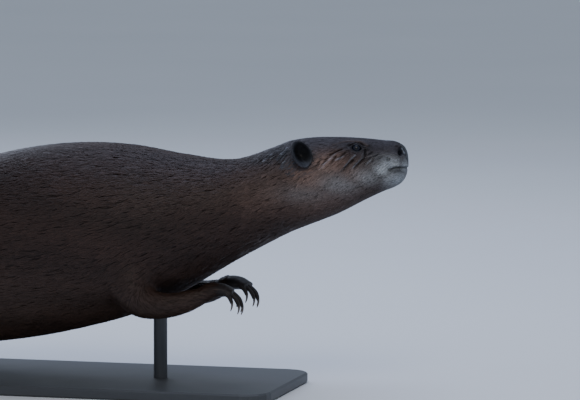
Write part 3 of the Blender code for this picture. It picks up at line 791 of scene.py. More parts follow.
def earAxes(side):
    # up along the ear, backwards across it, and the way it opens
    up = unit(np.array([math.sin(earPlan["tilt"]), 0.12 * side, math.cos(earPlan["tilt"])]))
    opens = np.array([-math.cos(earPlan["opens"]), side * math.sin(earPlan["opens"]), 0.18])
    opens = unit(opens - up * opens.dot(up))
    return up, np.cross(opens, up) * side, opens


def earBowl(u, v):
    # how much deeper the hollow is at its middle
    return earPlan["bowl"] * np.exp(-((u - 0.1) ** 2 + (v + 0.2) ** 2) / 0.45**2)


def earRing(side, share, outwards):
    # outwards is 0 on the hollow face and 1 on the back
    up, across, opens = earAxes(side)
    turn = around(56)
    edge = share * (1 + 0.025 * np.sin(3 * turn + 0.6) + 0.012 * np.sin(7 * turn))
    u, v = edge * np.cos(turn), edge * np.sin(turn)
    height, at, width = earPlan["roll"]
    roll = height * math.exp(-(((share - at) / width) ** 2)) * (1 - outwards)
    fold = earPlan["fold"] * np.exp(-(((u + 0.1 - 0.5 * v) / 0.12) ** 2)) * np.clip(v, 0, 1) * (1 - outwards)
    lift = earPlan["cup"] * edge**2 - earBowl(u, v) + roll + fold
    lift -= outwards * np.interp(share, (0, 1), earPlan["thickness"])
    points = mirrored(earPlan["at"], side) + np.outer(u, up) * earPlan["halfHeight"]
    return place(points + np.outer(v, across) * earPlan["halfWidth"] + np.outer(lift, opens))


def earShell(side):
    shares = np.linspace(0.04, 0.94, 18)
    rim = [(0.94 + 0.06 * math.sin(a), 0.5 - 0.5 * math.cos(a)) for a in np.linspace(0.3, math.pi - 0.3, 7)]
    rings = [(share, 0.0) for share in shares] + rim + [(share, 1.0) for share in shares[::-1]]
    return shell([earRing(side, share, outwards) for share, outwards in rings])


def earPlace(body):
    # place on the nearer ear: up, backwards, how far in front of its middle, and how far off the head
    folded = oneSided(body)
    away = folded - earPlan["at"]
    up, across, opens = earAxes(1)
    u, v = away @ up / earPlan["halfHeight"], away @ across / earPlan["halfWidth"]
    close = np.linalg.norm(away, axis=1) < 26
    off = np.where(close, ontoCore(body)[1], 0.0)
    return u, v, np.where(close, away @ opens, 99.0), off


paddlePlan = {
    "length": 262,
    "halfWidth": 72,
    "halfThickness": (12, 5),
    "drop": math.radians(6),
}


def paddleSize(share):
    root, last = sections[-1], paddlePlan["length"] * share
    widening = np.minimum(1.0, share / 0.42) ** 0.8
    rounding = np.sqrt(np.maximum(1 - (np.maximum(share - 0.52, 0) / 0.485) ** 2.4, 0))
    halfWidth = (root[3] + (paddlePlan["halfWidth"] - root[3]) * widening) * rounding
    thick, thin = paddlePlan["halfThickness"]
    halfHeight = (thick + (thin - thick) * np.minimum(1.0, share / 0.5) ** 0.7) * (0.45 + 0.55 * rounding)
    height = (root[1] + root[2]) / 2 - last * math.sin(paddlePlan["drop"]) * (1 - 0.45 * share)
    return root[0] + last, halfWidth - 0.9, halfHeight - 0.9, height


def paddlePoint(share, turn):
    behind, halfWidth, halfHeight, height = paddleSize(share)
    return np.column_stack([
        behind + 0 * turn,
        halfWidth * np.sin(turn),
        height + halfHeight * signedPower(np.cos(turn), 0.85),
    ])


def paddleShell():
    turn = around(120)
    shares = 1 - (1 - np.linspace(0, 0.9985, 90)) ** 1.4
    rings = [place(paddlePoint(np.full(len(turn), s), turn)) for s in shares]
    behind = np.full(len(turn), 838.0)
    return shell([place(corePoints(behind, turn))] + rings)


# The skin

eyePlan = {
    "at": (58.8, 22.6, -14.5),
    "radius": 6,
    "looks": (-0.14, 0.95, 0.13),
    "halfLength": 5.1,
    "halfHeight": 3.7,
    "lid": 0.8,
    "lidFold": (0.4, 1.75, 0.14),  # depth, and where and how wide as shares of the opening
    "lidEnds": (1.5, 2.3),  # from here to there it runs out into the face
    "behindLid": 2.2,
}

# Grooves and folds of the face: points along the line, depth (below nought, a ridge), half width.
creases = [
    (((48.2, 28.7, -14.6), (47.2, 32, -21), (48.5, 33.1, -25), (53.5, 36, -30.5), (58.8, 38.6, -36)),
     1.9, 1),
    (((60.4, 37.5, -27.3), (65.5, 40.8, -32.3), (70.6, 44.1, -37.8)), 1.9, 1),
    (((74.5, 35.8, -15), (80.5, 39.5, -17.5), (87.2, 43.3, -21.6)), 1.3, 0.9),
    (((66.6, 29.2, -9.6), (60.5, 25.5, -7), (54.5, 22.9, -6.4), (49.6, 26, -10.6)), 1.2, 0.8),
]
ridges = [
    (((84.1, 31.9, -8.6), (71.7, 24.6, -4.9), (61.6, 21.3, -3.9), (53, 22, -4.6), (46, 25.5, -9.5)),
     -0.9, 1.3),
    (((50.2, 32.2, -20), (52.2, 34, -25), (60.8, 38, -32.8)), -0.6, 0.9),
    (((62.6, 37, -25.2), (67.5, 40.3, -30.5), (75.5, 45.5, -41)), -0.6, 0.9),
]
ticks = [
    ((39.6, 31, -17.6), (43.1, 31.5, -19.5)), ((32.3, 29.5, -19.1), (35.5, 30.5, -22.2), (37.9, 31, -23.4)),
    ((40.8, 32, -23.6), (43.7, 32.5, -26.6)), ((37.2, 31.5, -25.4), (39.3, 32, -28.4)),
    ((46, 33.5, -29), (48, 34, -31.4)), ((28.6, 30, -22.7), (32, 30.5, -25.4)),
    ((22.5, 28.5, -24.3), (23.1, 28.8, -27.2)), ((19.6, 28, -24.9), (20.5, 28.2, -27.7)),
    ((89, 46, -24), (95.5, 51, -33)), ((80, 42.5, -23), (86, 47.5, -32)),
    ((97, 48, -27), (103, 52.5, -36)), ((70, 36, -19), (77, 41, -27)),
]
# Behind the ear: wet locks with a painted highlight where they catch the light, and partings between them
# with painted shade: line, strength, half width.
streaks = [
    (((58.7, 34, -21.1), (64.5, 39.3, -27.6), (70.5, 43.9, -37.3)), 0.5, 0.9),
    (((50.2, 32, -22.4), (54, 36, -28.5), (61, 39.5, -36.5)), 0.5, 0.9),
    (((72.5, 40.1, -23.1), (79.6, 44.4, -27.1)), 0.5, 0.9),
    (((80.9, 40.8, -19.6), (84.9, 44.1, -23.6)), 0.5, 0.9),
    (((86.9, 46.1, -26.8), (96, 51.3, -36.6)), 0.5, 0.9),
    (((84.3, 44.5, -24.7), (93.5, 49.7, -32.4)), 0.5, 0.9),
    (((41, 31.5, -26.6), (45.4, 33.3, -31.8)), 0.5, 0.9),
    (((143.3, 39.5, -20.9), (139.6, 35, -16.1), (136, 30.4, -11.4)), 0.55, 0.9),
    (((161.9, 39.2, -28.2), (154.5, 32.1, -20.5), (144, 32.6, -16.1)), 0.32, 1.1),
    (((161.7, 31.5, -22.8), (155.7, 28.5, -18.4)), 0.3, 1),
    (((156.3, 39.4, -26.3), (151.7, 36.2, -22.3), (146.3, 35.2, -18.9)), 0.32, 1),
    (((152, 43, -29), (146.8, 41.3, -24.4)), 0.25, 1),
    (((142, 48.9, -33), (137.9, 47.4, -28.4)), 0.25, 1),
    (((175.4, 34.3, -29.5), (171.4, 30.7, -25.8)), 0.3, 1.1),
]
partings = [
    (((162.8, 36.3, -26.5), (159.3, 33.1, -22.9), (156.1, 30.7, -20.1)), 0.8, 0.9),
    (((158.8, 38.2, -26.3), (154.1, 34.2, -21.8), (148.8, 34.4, -19.3)), 0.75, 0.8),
    (((142.7, 42.4, -24.2), (138.9, 40.2, -20), (134.7, 38.3, -16.5)), 0.85, 1.4),
    (((140.8, 46.6, -28.4), (136.4, 44.5, -24.3)), 0.75, 1.4),
    (((167.4, 34, -26.7), (163.2, 32.4, -24)), 0.75, 0.9),
    (((150.3, 31.1, -17.6), (144, 30.8, -14.9)), 0.75, 0.9),
]
mouthLine = [(-2, 0, -35.5), (1, 12, -35), (6, 20.5, -35), (13, 26, -35.6), (20.5, 28.5, -38.4)]
mouthPlan = {
    "depth": 1.7,
    "halfWidth": 1.0,
    "lipSwell": 0.5,
    "cleft": 0.9,
    "corner": ((20.5, 28.5, -38.2), 2.2, 1.6),  # middle, reach, depth
}
nostril = {
    "at": (7.2, 18.4, -17.2), "long": 4.6, "short": 3, "reach": 5.5, "depth": 5.5, "slope": 0.25,
    "rim": 1.2,
}
nostrilRim = [(13.5, 16, -9.5), (7.5, 14.5, -9.8), (3, 15.2, -15.5), (2.2, 15, -22), (5.5, 17.8, -25)]


def alongLine(body, line, width):
    # 1 on the line, fading to its sides
    line, folded = np.asarray(line), oneSided(body)
    close = ((folded > line.min(axis=0) - 3 * width) & (folded < line.max(axis=0) + 3 * width)).all(axis=1)
    folded, nearest = folded[close], np.full(close.sum(), 1e9)
    for start, end in zip(line, line[1:]):
        span = end - start
        t = np.clip((folded - start) @ span / span.dot(span), 0, 1)[:, None]
        nearest = np.minimum(nearest, np.linalg.norm(folded - start - t * span, axis=1))
    marks = np.zeros(len(body))
    marks[close] = np.exp(-((nearest / width) ** 2))
    return marks


def layOnSkin(mesh):
    # the lines of the face in short steps, laid on the skin, and those behind the ear on the coat over it
    points, _ = readMesh(mesh)
    skinTree = BVHTree.FromPolygons(points.tolist(), [tuple(face.vertices) for face in mesh.polygons])

    def laid(line, lift=0.0):
        knots = np.arange(len(line))
        steps = np.linspace(0, knots[-1], 4 * knots[-1] + 1)
        fine = np.column_stack([np.interp(steps, knots, values) for values in np.transpose(line)])
        found = [skinTree.find_nearest(p)[:2] for p in place(fine)]
        return oneSided(unplace(np.array([at + out * lift * mm for at, out in found])))

    def coatOver(line):
        return np.interp(line[0][0], (100, 140), (0, 1.5))

    for lines in (creases, ridges):
        lines[:] = [(laid(line), *rest) for line, *rest in lines]
    for lines in (streaks, partings):
        lines[:] = [(laid(line, coatOver(line)), *rest) for line, *rest in lines]
    ticks[:] = [laid(line) for line in ticks]
    for line in (mouthLine, nostrilRim):
        line[:] = list(laid(line))


def eyeAxes(side):
    looks = unit(mirrored(eyePlan["looks"], side))
    ahead = np.array([-1.0, 0.0, 0.0])
    ahead = unit(ahead - looks * ahead.dot(looks))
    up = np.cross(looks, ahead)
    return looks, ahead, up * (1 if up[2] > 0 else -1)


def eyePlace(body, side):
    # along the lids, across them, out of the head, and 1 at the lids' edge
    looks, ahead, up = eyeAxes(side)
    away = body - mirrored(eyePlan["at"], side)
    a, b, c = away @ ahead, away @ up, away @ looks
    share = a / eyePlan["halfLength"]
    half = eyePlan["halfHeight"] * np.clip(1 - 0.25 * share**2, 0.3, 1) * np.where(b > 0, 1.0, 0.86)
    return a, b, c, np.sqrt(share**2 + ((b + 0.07 * a) / half) ** 2)


def lidEdge(body):
    # 1 at the edge of either eye's opening, less inside
    places = [eyePlace(body, side)[2:] for side in (-1, 1)]
    return np.minimum(*(np.where(out > 0, edge, 99.0) for out, edge in places))


def shapeLids(body):
    radius, lid, (depth, at, width) = eyePlan["radius"], eyePlan["lid"], eyePlan["lidFold"]
    for side in (-1, 1):
        looks = eyeAxes(side)[0]
        a, b, c, edge = eyePlace(body, side)
        ball = np.sqrt(np.maximum(radius**2 - a**2 - b**2, 0.01))
        over = np.sqrt(np.maximum((radius + lid) ** 2 - a**2 - b**2, 0.0))
        raised = np.maximum(c, over) - depth * np.exp(-(((edge - at) / width) ** 2)) * (b > -1)
        outer = c + (raised - c) * (1 - rampUp(edge, *eyePlan["lidEnds"]))
        margin = rampUp(edge, 1.0, 1.14)
        behind, before = ball - 0.5 - eyePlan["behindLid"] * (1 - edge), ball + 0.05
        wanted = np.where(edge < 1, behind, before + (outer - ball - 0.05) * margin)
        here = (c > 0) & (a**2 + b**2 < 15**2)
        body = body + np.where(here, wanted - c, 0)[:, None] * looks
    return body


def nostrilPit(body):
    away, slope = oneSided(body) - nostril["at"], nostril["slope"]
    across = away[:, 0] * math.cos(slope) + away[:, 2] * math.sin(slope)
    height = away[:, 2] * math.cos(slope) - away[:, 0] * math.sin(slope)
    pit = (across / nostril["short"]) ** 2 + (height / nostril["long"]) ** 2
    return np.exp(-((pit + (away[:, 1] / nostril["reach"]) ** 4) ** 1.4))


def nosePad(body):
    # below 1 on the bare pad, which narrows down to the cleft of the lip
    side, up = np.abs(body[:, 1]), body[:, 2]
    lower = np.where(up > -16, 9.0, 12.5 + 4.5 * np.exp(-((side / 4.0) ** 2)))
    edge = np.hypot(side / 17.5, (up + 16.0) / lower)
    return np.maximum(edge, (body[:, 0] - 3) / 9.5)


def splitFaces(mesh, cuts):
    # each cut halves the edges of the faces that its test picks
    def split(work):
        for test in cuts:
            work.faces.ensure_lookup_table()
            picked = test(unplace(np.array([f.calc_center_median() for f in work.faces])))
            edges = {e for f, wanted in zip(work.faces, picked) if wanted for e in f.edges}
            bmesh.ops.subdivide_edges(work, edges=list(edges), cuts=1, use_grid_fill=True)
        bmesh.ops.triangulate(work, faces=work.faces)

    rework(mesh, split)


skinPlan = {
    "voxel": 3.1,
    "pawVoxel": 0.95,
    "joinReach": 13,  # how far the joins of the limbs are softened, and in how many rounds
    "joinRounds": 45,
    "smoothRounds": 5,
    "keepSize": 1.04,
    "seamReach": 2.5,
    "seamRounds": 8,
}


def makeTrunk():
    limbs = []
    for side, foot in ((1, footPlan["left"]), (-1, footPlan["right"])):
        limbs.append(shell(limbRings(limbPlan["haunch"], side, 50, 80, 2.0)))
        limbs.append(shankShell(foot))
        limbs.append(shell(limbRings(limbPlan["foreLeg"], side, 60, 64, 1.4)))
    core = coreShell()
    mesh = voxelMesh("trunk", [core, paddleShell(), *limbs], skinPlan["voxel"])
    points, edges = readMesh(mesh)

    # soften the joins of the limbs
    trees = [BVHTree.FromPolygons(s[0].tolist(), s[1]) for s in (core, joined(limbs))]
    body = unplace(points)
    lower = (body[:, 0] > 205) & (body[:, 0] < 790) & (body[:, 2] < -70)
    weight = np.zeros(len(points))
    for i in np.flatnonzero(lower):
        away = max(tree.find_nearest(points[i])[3] for tree in trees)
        weight[i] = math.exp(-((away / (skinPlan["joinReach"] * mm)) ** 2))
    points = relaxed(points, edges, weight, skinPlan["joinRounds"])
    points = relaxed(points, edges, np.ones(len(points)), skinPlan["smoothRounds"], skinPlan["keepSize"])
    writePoints(mesh, points)

    splitFaces(mesh, (
        lambda b: b[:, 0] < 128,
        lambda b: (b[:, 0] < 62) | (near(b, (60, 30, -16), 24) > 0.3),
        lambda b: (lidEdge(b) < 2.4) | (near(b, nostril["at"], 9) > 0.3),
        lambda b: lidEdge(b) < 1.5,
    ))
    points, edges = readMesh(mesh)
    body = unplace(points)
    smooth, off = ontoCore(body)
    blend = rampUp(body[:, 0], 3, 7) * (1 - rampUp(body[:, 0], 195, 225)) * (np.abs(off) < 3)
    body = body + (smooth - body) * blend[:, None]
    writePoints(mesh, relaxed(place(body), edges, 1 - rampUp(body[:, 0], 6, 10), 30))
    return mesh


def shapeFace(mesh):
    points, normals = readMesh(mesh)[0], readAll(mesh.vertex_normals, "vector").astype(float)
    body = unplace(points)
    sink = sum(depth * alongLine(body, line, width) for line, depth, width in (*creases, *ridges))
    sink += sum(0.6 * alongLine(body, line, 0.9) for line in ticks)
    sink += nostril["depth"] * nostrilPit(body) - nostril["rim"] * alongLine(body, nostrilRim, 1.5)
    sink += mouthPlan["depth"] * alongLine(body, mouthLine, mouthPlan["halfWidth"])
    sink -= mouthPlan["lipSwell"] * alongLine(body - (0, 0, 2.6), mouthLine, 2.0)
    middle, reach, depth = mouthPlan["corner"]
    sink += depth * near(body, middle, reach)
    sink -= 0.5 * (1 - rampUp(nosePad(body), 0.85, 1.05))
    height = -body[:, 2]
    middle = np.exp(-((body[:, 1] / 0.8) ** 2)) * (body[:, 0] < 9)
    sink += mouthPlan["cleft"] * middle * rampUp(height, 9, 14) * (1 - rampUp(height, 34, 36))
    writePoints(mesh, place(shapeLids(unplace(points - normals * sink[:, None] * mm))))


def makePaw(side):
    shells = [shell(limbRings(limbPlan["palm"], side, 30, 40, 0.2))]
    claws = []
    for i, length in enumerate(limbPlan["digitLengths"]):
        fan = i / 2 - 1
        root = mirrored(limbPlan["digitRoot"], side) + (3.0 * fan**2, side * limbPlan["digitFan"] * fan, 0.0)
        ahead = np.array([-1.0, side * 0.26 * fan, -0.25])
        under = np.array([-0.25, side * 0.10 * fan, -1.0])
        digit, tip = tapered(root, ahead, under, length, limbPlan["digitRadii"], 20, 24, 0.07)
        shells.append(shell(digit))
        start, curls = tip + (0.2, 0.0, 2.4), np.array([0.45, 0.0, -0.9])
        size = limbPlan["foreClaw"], limbPlan["foreClawRadii"]
        claws.append(tapered(start, under, curls, *size, 14, 16)[0])
    mesh = voxelMesh("paw", shells, skinPlan["pawVoxel"])
    points, edges = readMesh(mesh)
    writePoints(mesh, relaxed(points, edges, np.ones(len(points)), 4, keep=1.02))
    return mesh, claws


def makeHindClaws(foot):
    claws = []
    for across in np.linspace(-1, 1, 5):
        tip, up, _ = footPoint(foot, np.array([across]), 0.94)
        behind = footPoint(foot, np.array([across]), 0.89)[0]
        onward = unit(tip[0] - behind[0])
        leaves, ends = onward + up * 0.10, onward - up * 0.75
        claws.append(tapered(tip[0], leaves, ends, footPlan["claw"], footPlan["clawRadii"], 16, 18)[0])
    return claws


def united(mesh, others):
    # one closed skin, softened where the parts run into each other
    parts = (mesh, *others)
    holders = [inScene("part", part) for part in parts]
    for other in holders[1:]:
        step = holders[0].modifiers.new("union", "BOOLEAN")
        step.operation = "UNION"
        step.solver = "MANIFOLD"
        step.object = other
    whole = applied(holders[0])
    known = pointTree([vertex.co for part in parts for vertex in part.vertices])
    for holder in holders[1:]:
        bpy.data.objects.remove(holder)

    def clean(work):
        bmesh.ops.triangulate(work, faces=work.faces)
        bmesh.ops.remove_doubles(work, verts=work.verts, dist=0.05 * mm)

    rework(whole, clean)
    points, edges = readMesh(whole)
    seam = pointTree([p for p in points if known.find(p)[2] > 0.02 * mm])
    away = np.array([seam.find(p)[2] for p in points]) / mm
    weight = np.exp(-((away / skinPlan["seamReach"]) ** 2))
    writePoints(whole, relaxed(points, edges, weight, skinPlan["seamRounds"]))
    return whole


def unwrap(mesh):
    # islands of the skin's own shape
    holder = inScene("unwrapping", mesh)
    mesh.uv_layers.new(name="OFBake")
    bpy.context.view_layer.objects.active = holder
    holder.select_set(True)
    bpy.ops.object.mode_set(mode="EDIT")
    bpy.ops.mesh.select_all(action="SELECT")
    bpy.ops.uv.smart_project(angle_limit=math.radians(66), island_margin=0.002)
    bpy.ops.object.mode_set(mode="OBJECT")
    bpy.data.objects.remove(holder)
    return readAll(mesh.uv_layers["OFBake"].data, "uv", 2).reshape(-1, 3, 2).astype(float)


# Markings and the lie of the coat


def footPlace(body, foot):
    # mm along the foot, above it and across it
    along, outwards, up = footAxes(foot)
    away = body - mirrored(foot["ankle"], foot["side"])
    return away @ along, away @ up, away @ outwards


def bareFeet(body):
    # 1 on the hairless skin of the feet and paws
    bare = rampUp(-body[:, 0], -223, -208) * (body[:, 2] < -150) * (np.abs(body[:, 1]) < 75)
    for foot in (footPlan["left"], footPlan["right"]):
        run, over, across = footPlace(body, foot)
        wide = np.abs(across) < footPlan["heelHalfWidth"] + 0.4 * np.maximum(run, 0) + 4
        sole = rampUp(run, -2, 6) * rampUp(-over, 0, 5)
        bare = np.maximum(bare, wide * (np.abs(over) < 20) * np.maximum(rampUp(run, 8, 42), sole))
    return bare


def toeMarks(body):
    # 1 on the back of each hind toe, and mm along the foot
    toes, along = np.zeros(len(body)), np.zeros(len(body))
    for foot in (footPlan["left"], footPlan["right"]):
        run, over, wide = footPlace(body, foot)
        onFoot = (run > 10) & (np.abs(over) < 20) & (np.abs(wide) < 62)
        halfWidth, fan = footHalfWidth(np.clip(1.05 * run / footPlan["length"], 0, 1))
        toes = np.maximum(toes, onFoot * toeRidge(wide / halfWidth, halfWidth) * np.minimum(fan * 3, 1))
        along = np.where(onFoot, run, along)
    return {"toeBack": toes, "alongFoot": along}


def earMarks(body):
    # 1 on the ear, in its hollow, and deep in the hollow
    u, v, lift, off = earPlace(body)
    share = np.hypot(u, v)
    floor = earPlan["cup"] * share**2 - earBowl(u, v)
    hollow = rampUp(lift - floor, -1.8, -0.8) * (1 - rampUp(share, 0.9, 0.97)) * (lift < 14)
    onEar = np.maximum(rampUp(off, 0.8, 2.0), hollow)
    return onEar, hollow, hollow * (1 - rampUp(np.hypot(u - 0.1, v + 0.25), 0.5, 0.95))


# Patches of colour: strength, middle, reach.
patches = {
    "crownSlate": ((0.85, (28, 29, -19), (22, 14, 7)), (0.9, (52, 29, -13), (17, 12, 9))),
    "cheekRust": (
        (1, (90, 48, -31), (26, 22, 14)), (0.9, (112, 54, -48), (24, 20, 20)),
        (0.6, (64, 40, -40), (20, 14, 14)), (0.5, (90, 50, -78), (60, 30, 22)),
        (0.4, (150, 56, -66), (40, 30, 28)),
    ),
    "lipPale": (
        (1, (19, 27, -31.5), (13, 14, 8)), (1, (27, 30, -37), (11, 14, 8.5)),
        (0.85, (3, 14, -34), (8, 14, 8.5)), (0.8, (14, 14, -47), (18, 20, 10)),
        (0.35, (44, 34, -46), (20, 20, 11)), (0.25, (76, 44, -56), (30, 24, 13)),
        (0.15, (112, 50, -66), (34, 30, 12)),
    ),
    # patches of painted shade: in front of the eye, at the mouth's corner, in front of and behind the ear,
    # behind the eye and on the nape
    "paintedShade": (
        (0.75, (45.5, 27.5, -13), (4, 6, 4)), (1, (20, 28.5, -38.2), 2.6), (0.7, (107, 49, -24), (6, 8, 5)),
        (0.35, (70, 32, -12), (11, 10, 5)), (0.5, (137, 42, -21.5), (6, 6, 5)),
        (0.2, (152, 36, -22), (14, 10, 9)),
    ),
    # painted highlights on the nape and on the muzzle
    "paintedHighlight": ((0.05, (150, 34, -24), (34, 26, 22)), (0.12, (30, 30, -24), (16, 12, 7))),
}


markingPlan = {
    "headEnds": (140, 185),
    "crownEdge": (-26, -13),  # between these heights the slate of the crown sets in
    "brow": (1.4, 0.6, 0.7),  # half width of the painted highlight along the brow, how much slate it loses, how much rust it is given
    # creaseWidth, tick, hollow, mouth, lidShade and combFold set the painted shade in the furrows, the
    # ticks, deep in the ear, along the mouth, around the lids and between the wet lines
    "creaseWidth": 1.3,
    "tick": 0.9,
    "hollow": 0.88,
    "mouth": (0.9, 1.3),  # strength, half width
    "lidShade": (0.6, 1.1, 1.9),  # strength, and from where to where outside the opening
    "combFold": 0.65,
    # this and the next four are strengths of painted highlights: on the crests of the wet lines, along the
    # brow, beside the furrows, on the nostril's rim and on the ear
    "combHighlight": 0.12,
    "browHighlight": 0.35,
    "ridgeHighlight": 0.75,
    "nostrilHighlight": 0.5,
    "earHighlight": 0.08,
    "padEdge": (0.92, 1.06),
    "lidSkin": (1.2, 1.42),
    "lowerLip": (0.5, (10, 24, -39.5), (7, 12, 2.6)),  # bare skin inside the lower lip, darkened also by painted shade under the upper lip: strength, middle, reach
    "tailStarts": (846, 853),
    "hollowSkin": 0.85,
    "earSkin": 0.3,
}


def markings(body):
    p, b, side, up = markingPlan, body[:, 0], np.abs(body[:, 1]), body[:, 2]
    strongest = np.maximum.reduce
    spot = {mark: strongest([strength * near(body, middle, reach) for strength, middle, reach in rows])
            for mark, rows in patches.items()}
    onHead = 1 - rampUp(b, *p["headEnds"])
    onEar, hollow, deep = earMarks(body)
    edge = lidEdge(body)
    combStrength, crest, _ = combed(body)
    browWidth, browLoses, browHighlightTan = p["brow"]
    browArc = alongLine(body, ridges[0][0], browWidth)
    # painted highlights along the streaks, which also lift the painted shade there
    streakHighlight = strongest([shine * alongLine(body, line, width) for line, shine, width in streaks])

    wander = 3 * np.sin(b * 0.11 + side * 0.07) + 2 * np.sin(up * 0.23 - b * 0.05)
    crown = np.maximum(onHead * rampUp(up + wander, *p["crownEdge"]), spot["crownSlate"])
    mouthDark, mouthWidth = p["mouth"]
    lidDark, *lidReach = p["lidShade"]
    # painted shade: in the furrows and ticks, the partings, the dark patches, deep in the ear, along the
    # mouth, around the lids and in the troughs of the wet lines, lifted on the streaks
    fold = strongest([
        *(alongLine(body, line, p["creaseWidth"] * width) for line, depth, width in creases),
        *(p["tick"] * alongLine(body, line, 1.0) for line in ticks),
        *(dark * alongLine(body, line, width) for line, dark, width in partings),
        spot["paintedShade"], p["hollow"] * deep, mouthDark * alongLine(body, mouthLine, mouthWidth),
        lidDark * (1 - rampUp(edge, *lidReach)), p["combFold"] * combStrength * rampUp(-crest, 0.0, 0.9),
    ]) * (1 - streakHighlight)
    # painted highlights along the brow, on the crests of the wet lines and on the ridges beside the furrows
    paintedLight = strongest([
        p["browHighlight"] * alongLine(body, ridges[0][0], 1.0),
        p["combHighlight"] * combStrength * rampUp(crest, 0.2, 1.0),
        *(p["ridgeHighlight"] * alongLine(body, line, 0.75 * width) for line, depth, width in ridges[1:]),
    ]) * (1 - fold)
    lipBare, middle, reach = p["lowerLip"]
    bare = strongest([
        1 - rampUp(nosePad(body), *p["padEdge"]),
        alongLine(body, mouthLine, 1.1),
        lipBare * near(body, middle, reach),
        1 - rampUp(edge, *p["lidSkin"]),
        nostrilPit(body),
        rampUp(b, *p["tailStarts"]),
        p["hollowSkin"] * hollow, p["earSkin"] * onEar,
    ])
    marks = {
        # along the brow the slate gives way to rust-tan: part of the painted highlight there
        "crownSlate": np.maximum(crown * (1 - browLoses * browArc), onEar),
        "cheekRust": np.maximum(spot["cheekRust"], browHighlightTan * browArc) * (1 - onEar),
        "lipPale": spot["lipPale"],
        "underPale": rampUp(-up, 120, 215) * rampUp(b, 60, 240) * (1 - rampUp(b, 720, 800)),
        # painted highlights, also along the nostril's rim and on the ear
        "paintedHighlight": strongest([
            paintedLight, streakHighlight, spot["paintedHighlight"], p["nostrilHighlight"] * alongLine(body, nostrilRim, 0.8),
            p["earHighlight"] * onEar * (1 - deep),
        ]),
        "paintedShade": fold,
        "bareDark": bare,
        "footSkin": bareFeet(body),
    }
    return {name: np.clip(values, 0, 1) for name, values in marks.items()}


# Where on the body, which way the hair points (behind, outwards, up), how far that reaches.
lieOfCoat = (
    ((4, 4, -6), (0.8, 0.2, 0.7), 9),
    ((14, 8, -4), (1, 0.1, 0.05), 12),
    ((14, 24, -22), (1, 0.3, -0.25), 11),
    ((14, 24, -34), (0.9, 0.2, -0.6), 10),
    ((14, 12, -52), (1, 0.1, -0.2), 14),
    ((38, 29, -22), (0.9, 0.2, -0.75), 15),
    ((58, 36, -30), (0.75, 0.2, -0.78), 16),
    ((56, 20, -4), (1, 0.25, -0.05), 10),
    ((80, 44, -34), (0.74, 0.15, -0.72), 20),
    ((78, 20, 0), (1, 0.1, 0), 20),
    ((98, 44, -16), (0.95, 0.1, -0.35), 14),
    ((112, 54, -48), (0.8, 0.1, -0.62), 22),
    ((115, 15, -1), (1, 0.05, -0.05), 26),
    ((146, 44, -26), (0.72, 0.25, -0.64), 18),
    ((150, 27, -15), (0.66, 0.42, -0.62), 16),
    ((70, 20, -80), (1, 0, -0.35), 30),
    ((165, 55, -60), (0.93, 0, -0.36), 30),
    ((178, 20, -26), (0.96, 0.15, -0.3), 30),
    ((215, 66, -90), (0.96, 0, -0.28), 44),
    ((200, 20, -140), (1, 0, -0.4), 50),
    ((310, 92, -110), (0.93, 0.05, -0.36), 60),
    ((318, 78, -148), (0.15, 0.1, -1), 22),
    ((290, 80, -188), (-0.75, -0.2, -0.3), 20),
    ((258, 64, -190), (-1, -0.5, 0.1), 20),
    ((222, 42, -176), (-1, -0.4, 0.1), 16),
    ((460, 120, -120), (1, 0, -0.16), 120),
    ((460, 30, -20), (1, 0.06, -0.12), 120),
    ((460, 40, -240), (1, 0, 0), 120),
    ((620, 105, -200), (0.92, 0, -0.38), 60),
    ((700, 60, -150), (1, -0.2, -0.3), 80),
    ((820, 30, -185), (1, 0, -0.05), 50),
)


def hairWay(body, normals):
    # along the surface, in the row frame
    folded = oneSided(body)
    way = np.tile((0.004, 0.0, 0.0), (len(body), 1))
    for at, points, reach in lieOfCoat:
        way += np.exp(-(((folded - at) / reach) ** 2).sum(axis=1))[:, None] * unit(np.array(points))
    u, v, _, off = earPlace(body)
    up, across, _ = earAxes(1)
    rimward = u[:, None] * up + v[:, None] * across + 0.15 * across
    way += (3 * rampUp(off, 0.8, 2.0))[:, None] * rimward
    way[:, 1] *= np.where(body[:, 1] >= 0, 1, -1)
    turned = (place(body + unit(way) * 0.25) - place(body)) / mm
    return unit(turned - normals * (turned * normals).sum(axis=1, keepdims=True))


# Wet hair parts into lines here: middle, reach, the way across the lines, their spacing, strength.
combs = (
    ((152, 33, -21), (24, 17, 15), (0.76, -0.54, 0.36), 3.8, 1.6),
    ((93, 48, -30), (15, 16, 11), (0.84, -0.11, 0.54), 4.4, 0.4),
)


def combed(body):
    # how strongly, where on a line (1 on its crest, -1 between two), and the way to the nearest crest
    folded, wander = oneSided(body), 0.9 * ripple(body, 16.0, 8)
    strength, crest, shift = np.zeros(len(body)), np.zeros(len(body)), np.zeros((len(body), 3))
    for middle, reach, across, spacing, most in combs:
        here = np.minimum(most * near(body, middle, reach), 1)
        lines = (folded @ across + wander) / spacing
        toCrest = (np.round(lines) - lines) * spacing * here
        stronger = here > strength
        crest = np.where(stronger, np.cos(2 * math.pi * lines), crest)
        shift = np.where(stronger[:, None], toCrest[:, None] * across, shift)
        strength = np.maximum(strength, here)
    shift[:, 1] *= np.sign(body[:, 1])
    return strength, crest, shift


def ripple(body, size, seed):
    # a smooth wandering value between -1 and 1, with swells of about this size in mm
    source = np.random.default_rng(seed)
    value = np.zeros(len(body))
    for _ in range(5):
        pitch = 2 * math.pi / size / source.uniform(0.7, 1.4)
        value += np.sin(body @ (unit(source.normal(size=3)) * pitch) + source.uniform(0, 6.28))
    return value / 3.2


